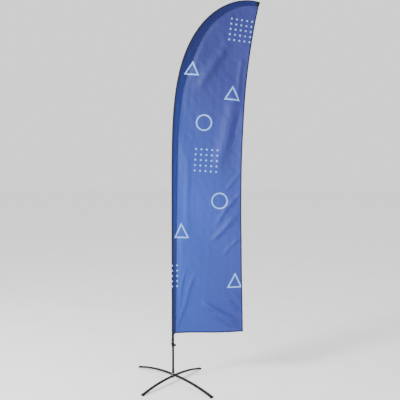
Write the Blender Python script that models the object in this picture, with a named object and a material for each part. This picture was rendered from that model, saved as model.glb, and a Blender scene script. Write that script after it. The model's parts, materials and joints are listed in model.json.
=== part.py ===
"""A feather flag on a folding cross base.

Two arched steel bars cross on a spindle. A rotor spins on the spindle and the pole slips over the rotor.
The pole is three tubes and a flexible rod that plug together and bend over at the top, where a printed
flag hangs from a sleeve that the pole runs through. An elastic cord pulls the sleeve down to a knob.

Metres, +Z up. The floor is at Z = 0 and the origin is under the middle of the object's box. Inside each
assembly the pole's axis is at X = 0 and the flag lies in the XZ plane, towards +X.
"""

import math

import bmesh
import bpy
import numpy as np
from mathutils import Matrix, Vector

# ---- the pole's centre line, by its length from the floor ----
POLE_LENGTH = 3.827  # from the floor along the bend to the end of the flag
BEND_SHARE = 0.40  # straight up for this share of it
TIP_HEADING = 108.0  # degrees from straight up at the end of the flag
BEND_POWER = 3.45  # how late the bend tightens

# ---- pole sections, bottom to top ----
JOINT_OVERLAP = 0.10  # how far each section plugs into the one below
TUBE_WALL = 0.0016
BOTTOM_RADIUS = 0.0100
TIP_ROD_END_RADIUS = 0.0024
FERRULE_WALL = 0.0008
FERRULE_LENGTH = 0.030
TIP_CAP_WALL = 0.0010
TIP_CAP_LENGTH = 0.020

# ---- clearances ----
GAP = 0.0003  # between pieces that touch
RUNNING_GAP = 0.0004  # between the rotor and the pole that slips over it
SLEEVE_GAP = 0.0004  # between the fullest part of the pole and the sleeve

# ---- flag ----
FLAG_BOTTOM = 0.449  # height of the bottom edge at the sleeve's seam
BOTTOM_RISE = 0.019  # how much higher the bottom edge's far corner is
BOTTOM_REACH = 0.635  # the far corner's distance from the pole's axis
TRAILING_LOW_HANDLE = (-0.012, 0.900)  # the trailing edge is one Bezier curve
TRAILING_TIP_HANDLE = (-0.203, -0.900)
PANEL_THICKNESS = 0.0008
SLEEVE_WALL = 0.0008
SLEEVE_DROP = 0.025  # how far the sleeve's leading corner hangs below its seam
SLEEVE_MOUTH_EASE = 0.0008  # the sleeve's mouth is this much wider than the first ferrule needs
SEAM_ALLOWANCE = 0.008
SEAM_THICKNESS = 0.0020
TIP_TRIM = 0.0012  # the panel and its hem end this share of the trailing edge below the tip
SLEEVE_WIDTHS = (  # share of the flag's leading edge, flat width there
    (0.00, 0.038),
    (0.17, 0.045),
    (0.49, 0.056),
    (0.62, 0.067),
    (0.75, 0.088),
    (0.87, 0.071),
    (1.00, 0.044),
)
HEM_DEPTH = 0.011
HEM_WALL = 0.0006
TIP_POCKET_LENGTH = 0.026
TIP_POCKET_WALL = 0.0020

# ---- tensioner ----
COLLAR_HEIGHT = 0.026
COLLAR_WALL = 0.0037
COLLAR_CENTRE = 0.341  # height of the knob
KNOB_NECK_RADIUS = 0.0045
KNOB_HEAD_RADIUS = 0.0095
KNOB_HEAD_LENGTH = 0.0090
KNOB_SHANK_RADIUS = 0.0025
CORD_RADIUS = 0.0025
TAB_BOTTOM = 0.398
TAB_WALL = 0.0018
TAB_WRAP = 160.0  # degrees round the pole's leading side

# ---- base ----
BAR_WIDTH = 0.030
BAR_HEIGHT = 0.012
BAR_WALL = 0.0015
CROWN_HALF = 0.025  # the bars are flat for this far each side of the spindle
UPPER_REACH = 0.470  # from the pole's axis to the end of a foot cap
LOWER_REACH = 0.372
UPPER_AZIMUTH = -41.5  # degrees from +X
LOWER_AZIMUTH = 47.5
LOWER_BAR_CENTRE = 0.053  # height of the lower bar at the spindle
SPACER_THICKNESS = 0.0014
BAR_END_CENTRE = 0.0095  # height of a bar's centre at its end
CAP_HEAD_LENGTH = 0.020
CAP_TONGUE_LENGTH = 0.025
CAP_LIP = 0.002  # how far a cap's head stands out round its bar
CAP_CORNER = 0.006
SPINDLE_SHARE = 0.45  # the spindle's radius inside the pole, and the others below, as shares of BOTTOM_RADIUS
STUD_SHARE = 0.50  # its threaded stud through the bars
FLANGE_SHARE = 1.50
ROTOR_FLANGE_SHARE = 1.30
FLANGE_HEIGHT = 0.006
THRUST_WASHER_HEIGHT = 0.002
ROTOR_WALL = 0.0014
ROTOR_HEIGHT = 0.140
ROTOR_FLANGE_HEIGHT = 0.003
ROTOR_BUSH_LENGTH = 0.020
WASHER_HEIGHT = 0.0015
NUT_SHARE = 3.4  # a lock nut's width across its flats, as a share of its stud's radius
LOCK_NUT_HEIGHT = 0.008
TOP_NUT_SHARE = 0.745  # the top nut's, as a share of the pole's bore
TOP_NUT_HEIGHT = 0.006
CRUSH_BUSH_WALL = 0.0025
SPACER_FACE = 0.0072  # how far the spacer and the washer under the bars reach out from their holes
WASHER_FACE = 0.0052
CHAMFER = 0.0008
STUD_END = 0.003  # how far a threaded end stands past its nut

# ---- sizes that follow from the ones above ----
BEND_START = BEND_SHARE * POLE_LENGTH
MIDDLE_RADIUS = BOTTOM_RADIUS - TUBE_WALL - GAP
UPPER_RADIUS = MIDDLE_RADIUS - TUBE_WALL - GAP
TIP_ROD_RADIUS = UPPER_RADIUS - TUBE_WALL - GAP
SPINDLE_RADIUS = SPINDLE_SHARE * BOTTOM_RADIUS
STUD_RADIUS = STUD_SHARE * BOTTOM_RADIUS
FLANGE_RADIUS = FLANGE_SHARE * BOTTOM_RADIUS
HOLE_RADIUS = STUD_RADIUS + GAP

UPPER_BAR_CENTRE = LOWER_BAR_CENTRE + BAR_HEIGHT + SPACER_THICKNESS + 2 * GAP
FLANGE_BOTTOM = UPPER_BAR_CENTRE + BAR_HEIGHT / 2 + GAP
THRUST_BOTTOM = FLANGE_BOTTOM + FLANGE_HEIGHT + GAP
ROTOR_BOTTOM = THRUST_BOTTOM + THRUST_WASHER_HEIGHT + GAP
ROTOR_TOP = ROTOR_BOTTOM + ROTOR_FLANGE_HEIGHT + ROTOR_HEIGHT
ROTOR_RADIUS = BOTTOM_RADIUS - TUBE_WALL - RUNNING_GAP
POLE_BOTTOM = ROTOR_BOTTOM + ROTOR_FLANGE_HEIGHT + GAP

ROD_END = POLE_LENGTH - TIP_POCKET_WALL - TIP_CAP_WALL - 3 * GAP
SECTION_LENGTH = (ROD_END - POLE_BOTTOM + 3 * JOINT_OVERLAP) / 4  # so that all four pack to one length
SECTION_STEP = SECTION_LENGTH - JOINT_OVERLAP
FIRST_MOUTH = POLE_BOTTOM + SECTION_LENGTH
SECOND_MOUTH = FIRST_MOUTH + SECTION_STEP
THIRD_MOUTH = SECOND_MOUTH + SECTION_STEP
SECOND_START = FIRST_MOUTH - JOINT_OVERLAP
THIRD_START = SECOND_MOUTH - JOINT_OVERLAP
POCKET_START = POLE_LENGTH - TIP_POCKET_LENGTH

ROUND_SIDES = 24
ROD_SIDES = 16
SLEEVE_ARC_POINTS = 10
BEND_PER_PLACE = math.radians(3.5)
LONGEST_PLACE = 0.30
TRACK_STEP = 0.001


# ======================================================================================
# the pole's centre line
# ======================================================================================
def heading(length):
    """The pole's angle from straight up, in radians, at a length along it from the floor."""
    share = max(0.0, (length - BEND_START) / (POLE_LENGTH - BEND_START))
    return math.radians(TIP_HEADING) * share**BEND_POWER


def walk_centre_line():
    """Steps along the bend and keeps a place wherever the pole has turned or run on far enough.

    Every piece on the pole shares these places, so pieces inside one another bend alike.
    """
    lengths, points, headings = [0.0], [(0.0, 0.0)], [0.0]
    x, z, s = 0.0, 0.0, 0.0
    while s < POLE_LENGTH:
        middle = heading(s + TRACK_STEP / 2)
        x += TRACK_STEP * math.sin(middle)
        z += TRACK_STEP * math.cos(middle)
        s += TRACK_STEP
        turned = heading(s) - headings[-1]
        if turned > BEND_PER_PLACE or s - lengths[-1] > LONGEST_PLACE or s >= POLE_LENGTH:
            lengths.append(s)
            points.append((x, z))
            headings.append(heading(s))
    return lengths, points, headings


LENGTHS, POINTS, HEADINGS = walk_centre_line()


def across(length, out=0.0, side=0.0):
    """The point at a length along the pole, out from its centre in the flag's plane, and aside in Y."""
    x = np.interp(length, LENGTHS, [p[0] for p in POINTS])
    z = np.interp(length, LENGTHS, [p[1] for p in POINTS])
    turn = np.interp(length, LENGTHS, HEADINGS)
    return Vector((x + out * math.cos(turn), side, z - out * math.sin(turn)))


def places(start, end):
    """The shared places between two lengths, with the two ends."""
    shortest = 0.002
    between = [s for s in LENGTHS if start + shortest < s < end - shortest]
    return [start, *between, end]


# ======================================================================================
# making solids
# ======================================================================================
def linear(value):
    return value / 12.92 if value <= 0.04045 else ((value + 0.055) / 1.055) ** 2.4


def material(name, colour, roughness, metallic=0.0):
    """A Principled material from an sRGB hex colour."""
    found = bpy.data.materials.new(name)
    found.use_nodes = True
    shader = found.node_tree.nodes["Principled BSDF"]
    channels = [linear(int(colour[i : i + 2], 16) / 255) for i in (1, 3, 5)]
    shader.inputs["Base Color"].default_value = (*channels, 1.0)
    shader.inputs["Roughness"].default_value = roughness
    shader.inputs["Metallic"].default_value = metallic
    found.diffuse_color = (*channels, 1.0)
    return found


def empty(name, location, parent=None):
    found = bpy.data.objects.new(name, None)
    found.location = location
    found.parent = parent
    bpy.context.scene.collection.objects.link(found)
    return found


def solid(name, bm, look, parent, sharp=35.0):
    """Makes the object of a mesh: smooth faces, with edges sharper than the angle left crisp."""
    bmesh.ops.recalc_face_normals(bm, faces=bm.faces)
    mesh = bpy.data.meshes.new(name)
    bm.to_mesh(mesh)
    bm.free()
    mesh.shade_smooth()
    mesh.set_sharp_from_angle(angle=math.radians(sharp))
    mesh.materials.append(look)
    found = bpy.data.objects.new(name, mesh)
    found.parent = parent
    bpy.context.scene.collection.objects.link(found)
    return found


def skin(bm, rings):
    """Joins each ring of vertices to the next with quads."""
    count = len(rings[0])
    for low, high in zip(rings, rings[1:]):
        for i in range(count):
            j = (i + 1) % count
            bm.faces.new((low[i], low[j], high[j], high[i]))


def add_rings(bm, rings):
    return [[bm.verts.new(point) for point in ring] for ring in rings]


def loft(rings):
    """A solid through closed rings of points, with flat ends."""
    bm = bmesh.new()
    made = add_rings(bm, rings)
    skin(bm, made)
    bm.faces.new(made[0])
    bm.faces.new(made[-1])
    return bm


def shell(outer, inner, closed_end=False):
    """A wall between outer and inner rings. It is open at the start, and open or closed at the end."""
    bm = bmesh.new()
    out, within = add_rings(bm, outer), add_rings(bm, inner)
    skin(bm, out)
    skin(bm, within)
    skin(bm, [out[0], within[0]])
    if closed_end:
        bm.faces.new(out[-1])
        bm.faces.new(within[-1])
    else:
        skin(bm, [out[-1], within[-1]])
    return bm


def circle(radius, sides=ROUND_SIDES):
    turns = (2 * math.pi * i / sides for i in range(sides))
    return [(radius * math.cos(a), radius * math.sin(a)) for a in turns]


def hexagon(flats, sides=ROUND_SIDES):
    """A hexagon with its corners on the same angles as a circle's points."""
    found = []
    for i in range(sides):
        a = 2 * math.pi * i / sides
        from_flat = (a + math.pi / 6) % (math.pi / 3) - math.pi / 6
        r = flats / 2 / math.cos(from_flat)
        found.append((r * math.cos(a), r * math.sin(a)))
    return found


def level(loop, height):
    """A loop of (x, y) laid flat at a height."""
    return [(x, y, height) for x, y in loop]


def turned(profile, sides=ROUND_SIDES):
    """A solid of revolution about Z from (radius, height) points up its outside."""
    return loft([level(circle(r, sides), z) for r, z in profile])


def turned_ring(outside, inside, sides=ROUND_SIDES):
    """A bored piece of revolution: (radius, height) points up its outside and up its bore."""
    rings_out = [level(circle(r, sides), z) for r, z in outside]
    rings_in = [level(circle(r, sides), z) for r, z in inside]
    return shell(rings_out, rings_in)


def washer(name, radius, bore, bottom, height, look, parent):
    edge = min(0.0003, height / 4)
    outside = [
        (radius - edge, bottom),
        (radius, bottom + edge),
        (radius, bottom + height - edge),
        (radius - edge, bottom + height),
    ]
    inside = [(bore, z) for _, z in outside]
    return solid(name, turned_ring(outside, inside), look, parent)


def nut(name, flats, bore, bottom, height, look, parent):
    """A hexagon nut with its corners chamfered top and bottom."""
    edge = height / 8
    trim = 0.95
    small = [(x * trim, y * trim) for x, y in hexagon(flats)]
    outer = [
        level(small, bottom),
        level(hexagon(flats), bottom + edge),
        level(hexagon(flats), bottom + height - edge),
        level(small, bottom + height),
    ]
    inner = [level(circle(bore), ring[0][2]) for ring in outer]
    return solid(name, shell(outer, inner), look, parent, sharp=20.0)


def cut(target, cutter):
    """Takes the cutter's space out of the target."""
    change = target.modifiers.new("cut_" + cutter.name, "BOOLEAN")
    change.operation = "DIFFERENCE"
    change.solver = "EXACT"
    change.object = cutter


def join(target, other):
    """Makes the other shape part of the target's one body."""
    change = target.modifiers.new("join_" + other.name, "BOOLEAN")
    change.operation = "UNION"
    change.solver = "EXACT"
    change.object = other


def as_guide(found):
    """A shape that only cuts or joins another."""
    found.hide_render = True
    found.display_type = "WIRE"
    return found


# ======================================================================================
# a clean scene, the finishes, and the empties that each body hangs on
# ======================================================================================
for old in list(bpy.data.objects):
    bpy.data.objects.remove(old, do_unlink=True)

BLACK_STEEL = material("powder_coated_steel", "#151516", 0.45)
BLACK_PLASTIC = material("black_plastic", "#101011", 0.55)
ZINC_STEEL = material("zinc_plated_steel", "#B9BBBD", 0.35, 1.0)
TURNED_STEEL = material("turned_steel", "#8C8E90", 0.3, 1.0)
ACETAL = material("white_acetal", "#DAD8D0", 0.5)
BLACK_ALUMINIUM = material("black_anodised_aluminium", "#131314", 0.4, 0.6)
FIBREGLASS = material("black_fibreglass", "#18181A", 0.35)
BLUE_POLYESTER = material("printed_blue_polyester", "#5B76B8", 0.6)
SLEEVE_POLYESTER = material("royal_blue_sleeve_polyester", "#24479B", 0.6)
NAVY_BINDING = material("navy_binding_tape", "#1B2750", 0.7)
BLACK_WEBBING = material("black_webbing", "#0E0E12", 0.8)
BLACK_ELASTIC = material("black_elastic_cord", "#121214", 0.8)

FLAG_TIP = across(POLE_LENGTH)
FAR_FOOT = UPPER_REACH * math.cos(math.radians(UPPER_AZIMUTH)) + BAR_WIDTH / 4
AXIS_X = round(-(FLAG_TIP.x - FAR_FOOT) / 2, 3)  # sets the origin under the middle of the box

base_frame = empty("base_frame", (AXIS_X, 0.0, 0.0))
lower_bar_pivot = empty("lower_bar_pivot", (0.0, 0.0, 0.0), base_frame)
rotor_axis = empty("rotor_axis", (0.0, 0.0, 0.0), base_frame)
pole_slide = empty("pole_slide", (0.0, 0.0, 0.0), rotor_axis)


# ======================================================================================
# leg bars, foot caps and crush bushes
# ======================================================================================
def flat_oval(width, height, corner_points=6):
    """A flat-oval section, as (across, up) points."""
    radius = height / 2
    offset = width / 2 - radius
    found = []
    for side in (1, -1):
        for i in range(corner_points):
            a = math.pi * (i / (corner_points - 1) - 0.5)
            found.append((side * (offset + radius * math.cos(a)), side * radius * math.sin(a)))
    return found


def bar_end(reach):
    return reach - CAP_HEAD_LENGTH - GAP


def bar_height(distance, reach, crown):
    """Height of a bar's centre line: flat over the spindle, then an arch down to the feet."""
    span = bar_end(reach) - CROWN_HALF
    share = max(0.0, abs(distance) - CROWN_HALF) / span
    return BAR_END_CENTRE + (crown - BAR_END_CENTRE) * (1 - share**2)


def bar_places(reach):
    steps = 9
    span = bar_end(reach) - CROWN_HALF
    half = [CROWN_HALF + span * i / steps for i in range(steps + 1)]
    return [-r for r in reversed(half)] + half


def bar_ring(section, distance, azimuth, reach, crown):
    """A section set square across a bar at a distance from the spindle."""
    grid = bar_places(reach)
    heights = [bar_height(r, reach, crown) for r in grid]
    lean = 0.001
    z = np.interp(distance, grid, heights)
    rise = bar_height(distance + lean, reach, crown) - bar_height(distance - lean, reach, crown)
    slope = math.atan2(rise, 2 * lean)
    along = Vector((math.cos(math.radians(azimuth)), math.sin(math.radians(azimuth)), 0.0))
    sideways = Vector((-along.y, along.x, 0.0))
    up = Vector((0.0, 0.0, 1.0))
    square_up = up * math.cos(slope) - along * math.sin(slope)
    centre = along * distance + up * z
    return [centre + sideways * a + square_up * b for a, b in section]


def leg_bar(name, azimuth, reach, crown, parent):
    """An arched flat-oval tube, open at its ends, with a hole for the spindle."""
    outside = flat_oval(BAR_WIDTH, BAR_HEIGHT)
    inside = flat_oval(BAR_WIDTH - 2 * BAR_WALL, BAR_HEIGHT - 2 * BAR_WALL)
    stops = bar_places(reach)
    outer = [bar_ring(outside, r, azimuth, reach, crown) for r in stops]
    inner = [bar_ring(inside, r, azimuth, reach, crown) for r in stops]
    bar = solid(name, shell(outer, inner), BLACK_STEEL, parent)
    low, high = crown - BAR_HEIGHT, crown + BAR_HEIGHT
    hole = turned([(HOLE_RADIUS, low), (HOLE_RADIUS, high)])
    cut(bar, as_guide(solid(name + "_hole", hole, BLACK_STEEL, parent)))


def foot_cap(name, azimuth, reach, crown, parent):
    """A plastic plug: a tongue inside the tube and a head with a flat sole on the floor."""
    tube_end = bar_end(reach)
    clear = 2 * (BAR_WALL + GAP)
    tongue = flat_oval(BAR_WIDTH - clear, BAR_HEIGHT - clear)
    into_head = CAP_HEAD_LENGTH / 4
    tongue_start = tube_end - CAP_TONGUE_LENGTH
    stops = [tongue_start, tongue_start + CAP_TONGUE_LENGTH / 2, tube_end, tube_end + into_head]
    tongue_rings = [bar_ring(tongue, r, azimuth, reach, crown) for r in stops]
    plug = as_guide(solid(name + "_tongue", loft(tongue_rings), BLACK_PLASTIC, parent))

    lip = flat_oval(BAR_WIDTH + 2 * CAP_LIP, BAR_HEIGHT + CAP_LIP)
    points = list(bar_ring(lip, tube_end + GAP, azimuth, reach, crown))
    along = Vector((math.cos(math.radians(azimuth)), math.sin(math.radians(azimuth)), 0.0))
    sideways = Vector((-along.y, along.x, 0.0))
    half = BAR_WIDTH / 2
    ease = CAP_CORNER / 2
    waist = BAR_END_CENTRE - ease
    toe_top = BAR_END_CENTRE + ease
    sole = [
        (tube_end + ease, half - CAP_CORNER, 0.0),
        (tube_end + CAP_CORNER, half - ease, 0.0),
        (reach - CAP_CORNER, half - ease, 0.0),
        (reach - ease, half - CAP_CORNER, 0.0),
    ]
    toe = [
        (reach - CAP_CORNER, half + CAP_LIP, waist),
        (reach - CAP_CORNER, half + CAP_LIP / 2, toe_top - ease),
        (reach - CAP_LIP, half - CAP_LIP, waist),
        (reach - CAP_LIP, half - CAP_LIP, toe_top - ease),
        (reach, half - CAP_CORNER, waist),
        (reach - ease, half - CAP_CORNER, toe_top),
    ]
    for r, a, z in sole + toe:
        for side in (1, -1):
            points.append(along * r + sideways * (side * a) + Vector((0.0, 0.0, z)))
    bm = bmesh.new()
    for point in points:
        bm.verts.new(point)
    made = bmesh.ops.convex_hull(bm, input=bm.verts)
    spare = {v for v in made["geom_interior"] + made["geom_unused"] if isinstance(v, bmesh.types.BMVert)}
    bmesh.ops.delete(bm, geom=list(spare), context="VERTS")
    cap = solid(name, bm, BLACK_PLASTIC, parent)
    join(cap, plug)


BARS = (
    ("upper", UPPER_AZIMUTH, UPPER_REACH, UPPER_BAR_CENTRE, base_frame),
    ("lower", LOWER_AZIMUTH, LOWER_REACH, LOWER_BAR_CENTRE, lower_bar_pivot),
)
for which, azimuth, reach, crown, parent in BARS:
    leg_bar(f"leg_bar_{which}", azimuth, reach, crown, parent)
    front_azimuth = azimuth if math.sin(math.radians(azimuth)) < 0 else azimuth + 180.0
    foot_cap(f"foot_cap_{which}_front", front_azimuth, reach, crown, parent)
    foot_cap(f"foot_cap_{which}_back", front_azimuth + 180.0, reach, crown, parent)
    bush_height = BAR_HEIGHT - 2 * (BAR_WALL + GAP)
    bush_bottom = crown - bush_height / 2
    bush_radius = HOLE_RADIUS + CRUSH_BUSH_WALL
    washer(f"crush_bush_{which}", bush_radius, HOLE_RADIUS, bush_bottom, bush_height, ZINC_STEEL, parent)


# ======================================================================================
# spindle, its washers and its nuts
# ======================================================================================
SPACER_BOTTOM = LOWER_BAR_CENTRE + BAR_HEIGHT / 2 + GAP
LOW_WASHER_BOTTOM = LOWER_BAR_CENTRE - BAR_HEIGHT / 2 - GAP - WASHER_HEIGHT
LOCK_NUT_BOTTOM = LOW_WASHER_BOTTOM - GAP - LOCK_NUT_HEIGHT
TOP_WASHER_BOTTOM = ROTOR_TOP + GAP
TOP_NUT_BOTTOM = TOP_WASHER_BOTTOM + WASHER_HEIGHT + GAP
SPINDLE_END = TOP_NUT_BOTTOM + TOP_NUT_HEIGHT + STUD_END

spindle_profile = [
    (STUD_RADIUS - CHAMFER, LOCK_NUT_BOTTOM - STUD_END),
    (STUD_RADIUS, LOCK_NUT_BOTTOM - STUD_END + CHAMFER),
    (STUD_RADIUS, FLANGE_BOTTOM),
    (FLANGE_RADIUS - CHAMFER, FLANGE_BOTTOM),
    (FLANGE_RADIUS, FLANGE_BOTTOM + CHAMFER),
    (FLANGE_RADIUS, FLANGE_BOTTOM + FLANGE_HEIGHT - CHAMFER),
    (FLANGE_RADIUS - CHAMFER, FLANGE_BOTTOM + FLANGE_HEIGHT),
    (SPINDLE_RADIUS, FLANGE_BOTTOM + FLANGE_HEIGHT),
    (SPINDLE_RADIUS, SPINDLE_END - CHAMFER),
    (SPINDLE_RADIUS - CHAMFER, SPINDLE_END),
]
solid("spindle", turned(spindle_profile), TURNED_STEEL, base_frame)

SPINDLE_BORE = SPINDLE_RADIUS + GAP
LOCK_NUT_FLATS = NUT_SHARE * STUD_RADIUS
TOP_NUT_FLATS = TOP_NUT_SHARE * 2 * (BOTTOM_RADIUS - TUBE_WALL)
for name, radius, bore, bottom, height, look in (
    ("bar_spacer", HOLE_RADIUS + SPACER_FACE, HOLE_RADIUS, SPACER_BOTTOM, SPACER_THICKNESS, ACETAL),
    ("lock_washer", HOLE_RADIUS + WASHER_FACE, HOLE_RADIUS, LOW_WASHER_BOTTOM, WASHER_HEIGHT, ZINC_STEEL),
    ("thrust_washer", FLANGE_RADIUS - CHAMFER, SPINDLE_BORE, THRUST_BOTTOM, THRUST_WASHER_HEIGHT, ZINC_STEEL),
    ("spindle_top_washer", ROTOR_RADIUS - GAP, SPINDLE_BORE, TOP_WASHER_BOTTOM, WASHER_HEIGHT, ZINC_STEEL),
):
    washer(name, radius, bore, bottom, height, look, base_frame)
nut("lock_nut", LOCK_NUT_FLATS, HOLE_RADIUS, LOCK_NUT_BOTTOM, LOCK_NUT_HEIGHT, ZINC_STEEL, base_frame)
nut("spindle_top_nut", TOP_NUT_FLATS, SPINDLE_BORE, TOP_NUT_BOTTOM, TOP_NUT_HEIGHT, ZINC_STEEL, base_frame)

# ======================================================================================
# rotor and its bushes
# ======================================================================================
ROTOR_BORE = ROTOR_RADIUS - ROTOR_WALL
ROTOR_FLANGE_RADIUS = ROTOR_FLANGE_SHARE * BOTTOM_RADIUS
ROTOR_FLANGE_TOP = ROTOR_BOTTOM + ROTOR_FLANGE_HEIGHT
rotor_outside = [
    (ROTOR_FLANGE_RADIUS - CHAMFER / 2, ROTOR_BOTTOM),
    (ROTOR_FLANGE_RADIUS, ROTOR_BOTTOM + CHAMFER / 2),
    (ROTOR_FLANGE_RADIUS, ROTOR_FLANGE_TOP - CHAMFER / 2),
    (ROTOR_FLANGE_RADIUS - CHAMFER / 2, ROTOR_FLANGE_TOP),
    (ROTOR_RADIUS, ROTOR_FLANGE_TOP),
    (ROTOR_RADIUS, ROTOR_TOP - CHAMFER),
    (ROTOR_RADIUS - CHAMFER / 2, ROTOR_TOP),
]
rotor_inside = [(ROTOR_BORE, z) for z in np.linspace(ROTOR_BOTTOM, ROTOR_TOP, len(rotor_outside))]
solid("rotor_tube", turned_ring(rotor_outside, rotor_inside), TURNED_STEEL, rotor_axis)

BUSH_RADIUS = ROTOR_BORE - GAP
for name, bottom in (
    ("rotor_bush_low", ROTOR_BOTTOM),
    ("rotor_bush_top", ROTOR_TOP - ROTOR_BUSH_LENGTH),
):
    washer(name, BUSH_RADIUS, SPINDLE_BORE, bottom, ROTOR_BUSH_LENGTH, ACETAL, rotor_axis)


# ======================================================================================
# pole tubes, tip rod, ferrules and tip cap
# ======================================================================================
def pole_rings(start, end, radius, sides=ROD_SIDES):
    """Round sections along the pole. The radius is a number or a function of the length."""
    found = []
    for s in places(start, end):
        r = radius(s) if callable(radius) else radius
        found.append([across(s, n, y) for n, y in circle(r, sides)])
    return found


def pole_tube(name, start, end, radius, bore, look, sides):
    outer = pole_rings(start, end, radius, sides)
    inner = pole_rings(start, end, bore, sides)
    return solid(name, shell(outer, inner), look, pole_slide)


def tip_rod_radius(length):
    """The tip rod is straight-sided inside its socket, then tapers to its end."""
    share = max(0.0, (length - THIRD_MOUTH) / (ROD_END - THIRD_MOUTH))
    return TIP_ROD_RADIUS + (TIP_ROD_END_RADIUS - TIP_ROD_RADIUS) * share


for name, start, mouth, radius, look, sides in (
    ("pole_tube_bottom", POLE_BOTTOM, FIRST_MOUTH, BOTTOM_RADIUS, BLACK_ALUMINIUM, ROUND_SIDES),
    ("pole_tube_middle", SECOND_START, SECOND_MOUTH, MIDDLE_RADIUS, BLACK_ALUMINIUM, ROD_SIDES),
    ("pole_tube_upper", THIRD_START, THIRD_MOUTH, UPPER_RADIUS, FIBREGLASS, ROD_SIDES),
):
    pole_tube(name, start, mouth, radius, radius - TUBE_WALL, look, sides)
rod_rings = pole_rings(THIRD_MOUTH - JOINT_OVERLAP, ROD_END, tip_rod_radius)
solid("pole_tip_rod", loft(rod_rings), FIBREGLASS, pole_slide)

for name, start, radius in (
    ("pole_foot_ferrule", POLE_BOTTOM, BOTTOM_RADIUS),
    ("ferrule_low", FIRST_MOUTH - FERRULE_LENGTH, BOTTOM_RADIUS),
    ("ferrule_middle", SECOND_MOUTH - FERRULE_LENGTH, MIDDLE_RADIUS),
    ("ferrule_high", THIRD_MOUTH - FERRULE_LENGTH, UPPER_RADIUS),
):
    bore = radius + GAP
    sides = ROUND_SIDES if radius == BOTTOM_RADIUS else ROD_SIDES
    pole_tube(name, start, start + FERRULE_LENGTH, bore + FERRULE_WALL, bore, BLACK_STEEL, sides)

cap_start = ROD_END - TIP_CAP_LENGTH
cap_bore = tip_rod_radius(cap_start) + GAP
cap_end = ROD_END + GAP + TIP_CAP_WALL
cap_outer = pole_rings(cap_start, cap_end, cap_bore + TIP_CAP_WALL)
cap_inner = pole_rings(cap_start, ROD_END + GAP, cap_bore)
cap_bm = shell(cap_outer, cap_inner, closed_end=True)
solid("pole_tip_cap", cap_bm, BLACK_PLASTIC, pole_slide)

# ======================================================================================
# tensioner: collar, knob, webbing tab and elastic cord
# ======================================================================================
COLLAR_BORE = BOTTOM_RADIUS + GAP
COLLAR_RADIUS = COLLAR_BORE + COLLAR_WALL
COLLAR_BOTTOM = COLLAR_CENTRE - COLLAR_HEIGHT / 2
collar_outside = [
    (COLLAR_RADIUS - CHAMFER, COLLAR_BOTTOM),
    (COLLAR_RADIUS, COLLAR_BOTTOM + CHAMFER),
    (COLLAR_RADIUS, COLLAR_BOTTOM + COLLAR_HEIGHT - CHAMFER),
    (COLLAR_RADIUS - CHAMFER, COLLAR_BOTTOM + COLLAR_HEIGHT),
]
collar_inside = [(COLLAR_BORE, z) for _, z in collar_outside]
collar = solid("tension_collar", turned_ring(collar_outside, collar_inside), BLACK_PLASTIC, pole_slide)


def lay_along_x(bm, height):
    """Turns a piece made about Z so that its axis runs out along +X at a height."""
    turn = Matrix.Rotation(math.radians(90.0), 4, "Y")
    bmesh.ops.transform(bm, matrix=Matrix.Translation((0.0, 0.0, height)) @ turn, verts=bm.verts)
    return bm


SHANK_HOLE_RADIUS = KNOB_SHANK_RADIUS + GAP
hole_bm = turned([(SHANK_HOLE_RADIUS, BOTTOM_RADIUS / 2), (SHANK_HOLE_RADIUS, 2 * COLLAR_RADIUS)])
shank_hole = solid("tension_collar_hole", lay_along_x(hole_bm, COLLAR_CENTRE), BLACK_PLASTIC, pole_slide)
cut(collar, as_guide(shank_hole))

CORD_TRACK_RADIUS = COLLAR_RADIUS + GAP + CORD_RADIUS
HEAD_START = CORD_TRACK_RADIUS + CORD_RADIUS + GAP
HEAD_END = HEAD_START + KNOB_HEAD_LENGTH
knob_profile = [
    (KNOB_SHANK_RADIUS, COLLAR_BORE + GAP),
    (KNOB_SHANK_RADIUS, COLLAR_RADIUS + GAP),
    (KNOB_NECK_RADIUS, COLLAR_RADIUS + GAP),
    (KNOB_NECK_RADIUS, HEAD_START),
    (KNOB_HEAD_RADIUS * 0.90, HEAD_START),
    (KNOB_HEAD_RADIUS, HEAD_START + KNOB_HEAD_LENGTH * 0.20),
    (KNOB_HEAD_RADIUS, HEAD_START + KNOB_HEAD_LENGTH * 0.55),
    (KNOB_HEAD_RADIUS * 0.85, HEAD_START + KNOB_HEAD_LENGTH * 0.85),
    (KNOB_HEAD_RADIUS * 0.45, HEAD_END),
]
solid("tension_knob", lay_along_x(turned(knob_profile), COLLAR_CENTRE), BLACK_PLASTIC, pole_slide)


def smooth_path(points, steps):
    """Points along a smooth curve through the given ones (Catmull-Rom)."""
    padded = [2 * points[0] - points[1], *points, 2 * points[-1] - points[-2]]
    found = []
    for a, b, c, d in zip(padded, padded[1:], padded[2:], padded[3:]):
        for i in range(steps):
            t = i / steps
            square = (2 * a - 5 * b + 4 * c - d) * t**2
            cube = (3 * b - a - 3 * c + d) * t**3
            found.append(0.5 * (2 * b + (c - a) * t + square + cube))
    return [*found, points[-1]]


# One strand of the cord, from the webbing tab to under the knob: its distance from the pole's axis
# beyond the track round the collar, its angle round the pole from -X in degrees, and its height.
# The other strand mirrors it behind the pole.
CORD_TOP = TAB_BOTTOM - GAP
UNDER_NECK = COLLAR_CENTRE - KNOB_NECK_RADIUS - GAP - CORD_RADIUS
STRAND = (
    (-0.0040, 22.0, CORD_TOP),
    (-0.0034, 22.0, CORD_TOP - 0.010),
    (-0.0018, 23.0, CORD_TOP - 0.022),
    (0.0001, 25.0, CORD_TOP - 0.034),
    (0.0006, 31.0, CORD_TOP - 0.044),
    (0.0004, 46.0, UNDER_NECK + 0.0125),
    (0.0002, 72.0, UNDER_NECK + 0.0070),
    (0.0001, 100.0, UNDER_NECK + 0.0033),
    (0.0001, 130.0, UNDER_NECK + 0.0009),
    (0.0000, 156.0, UNDER_NECK + 0.0001),
    (0.0000, 180.0, UNDER_NECK),
)
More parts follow.
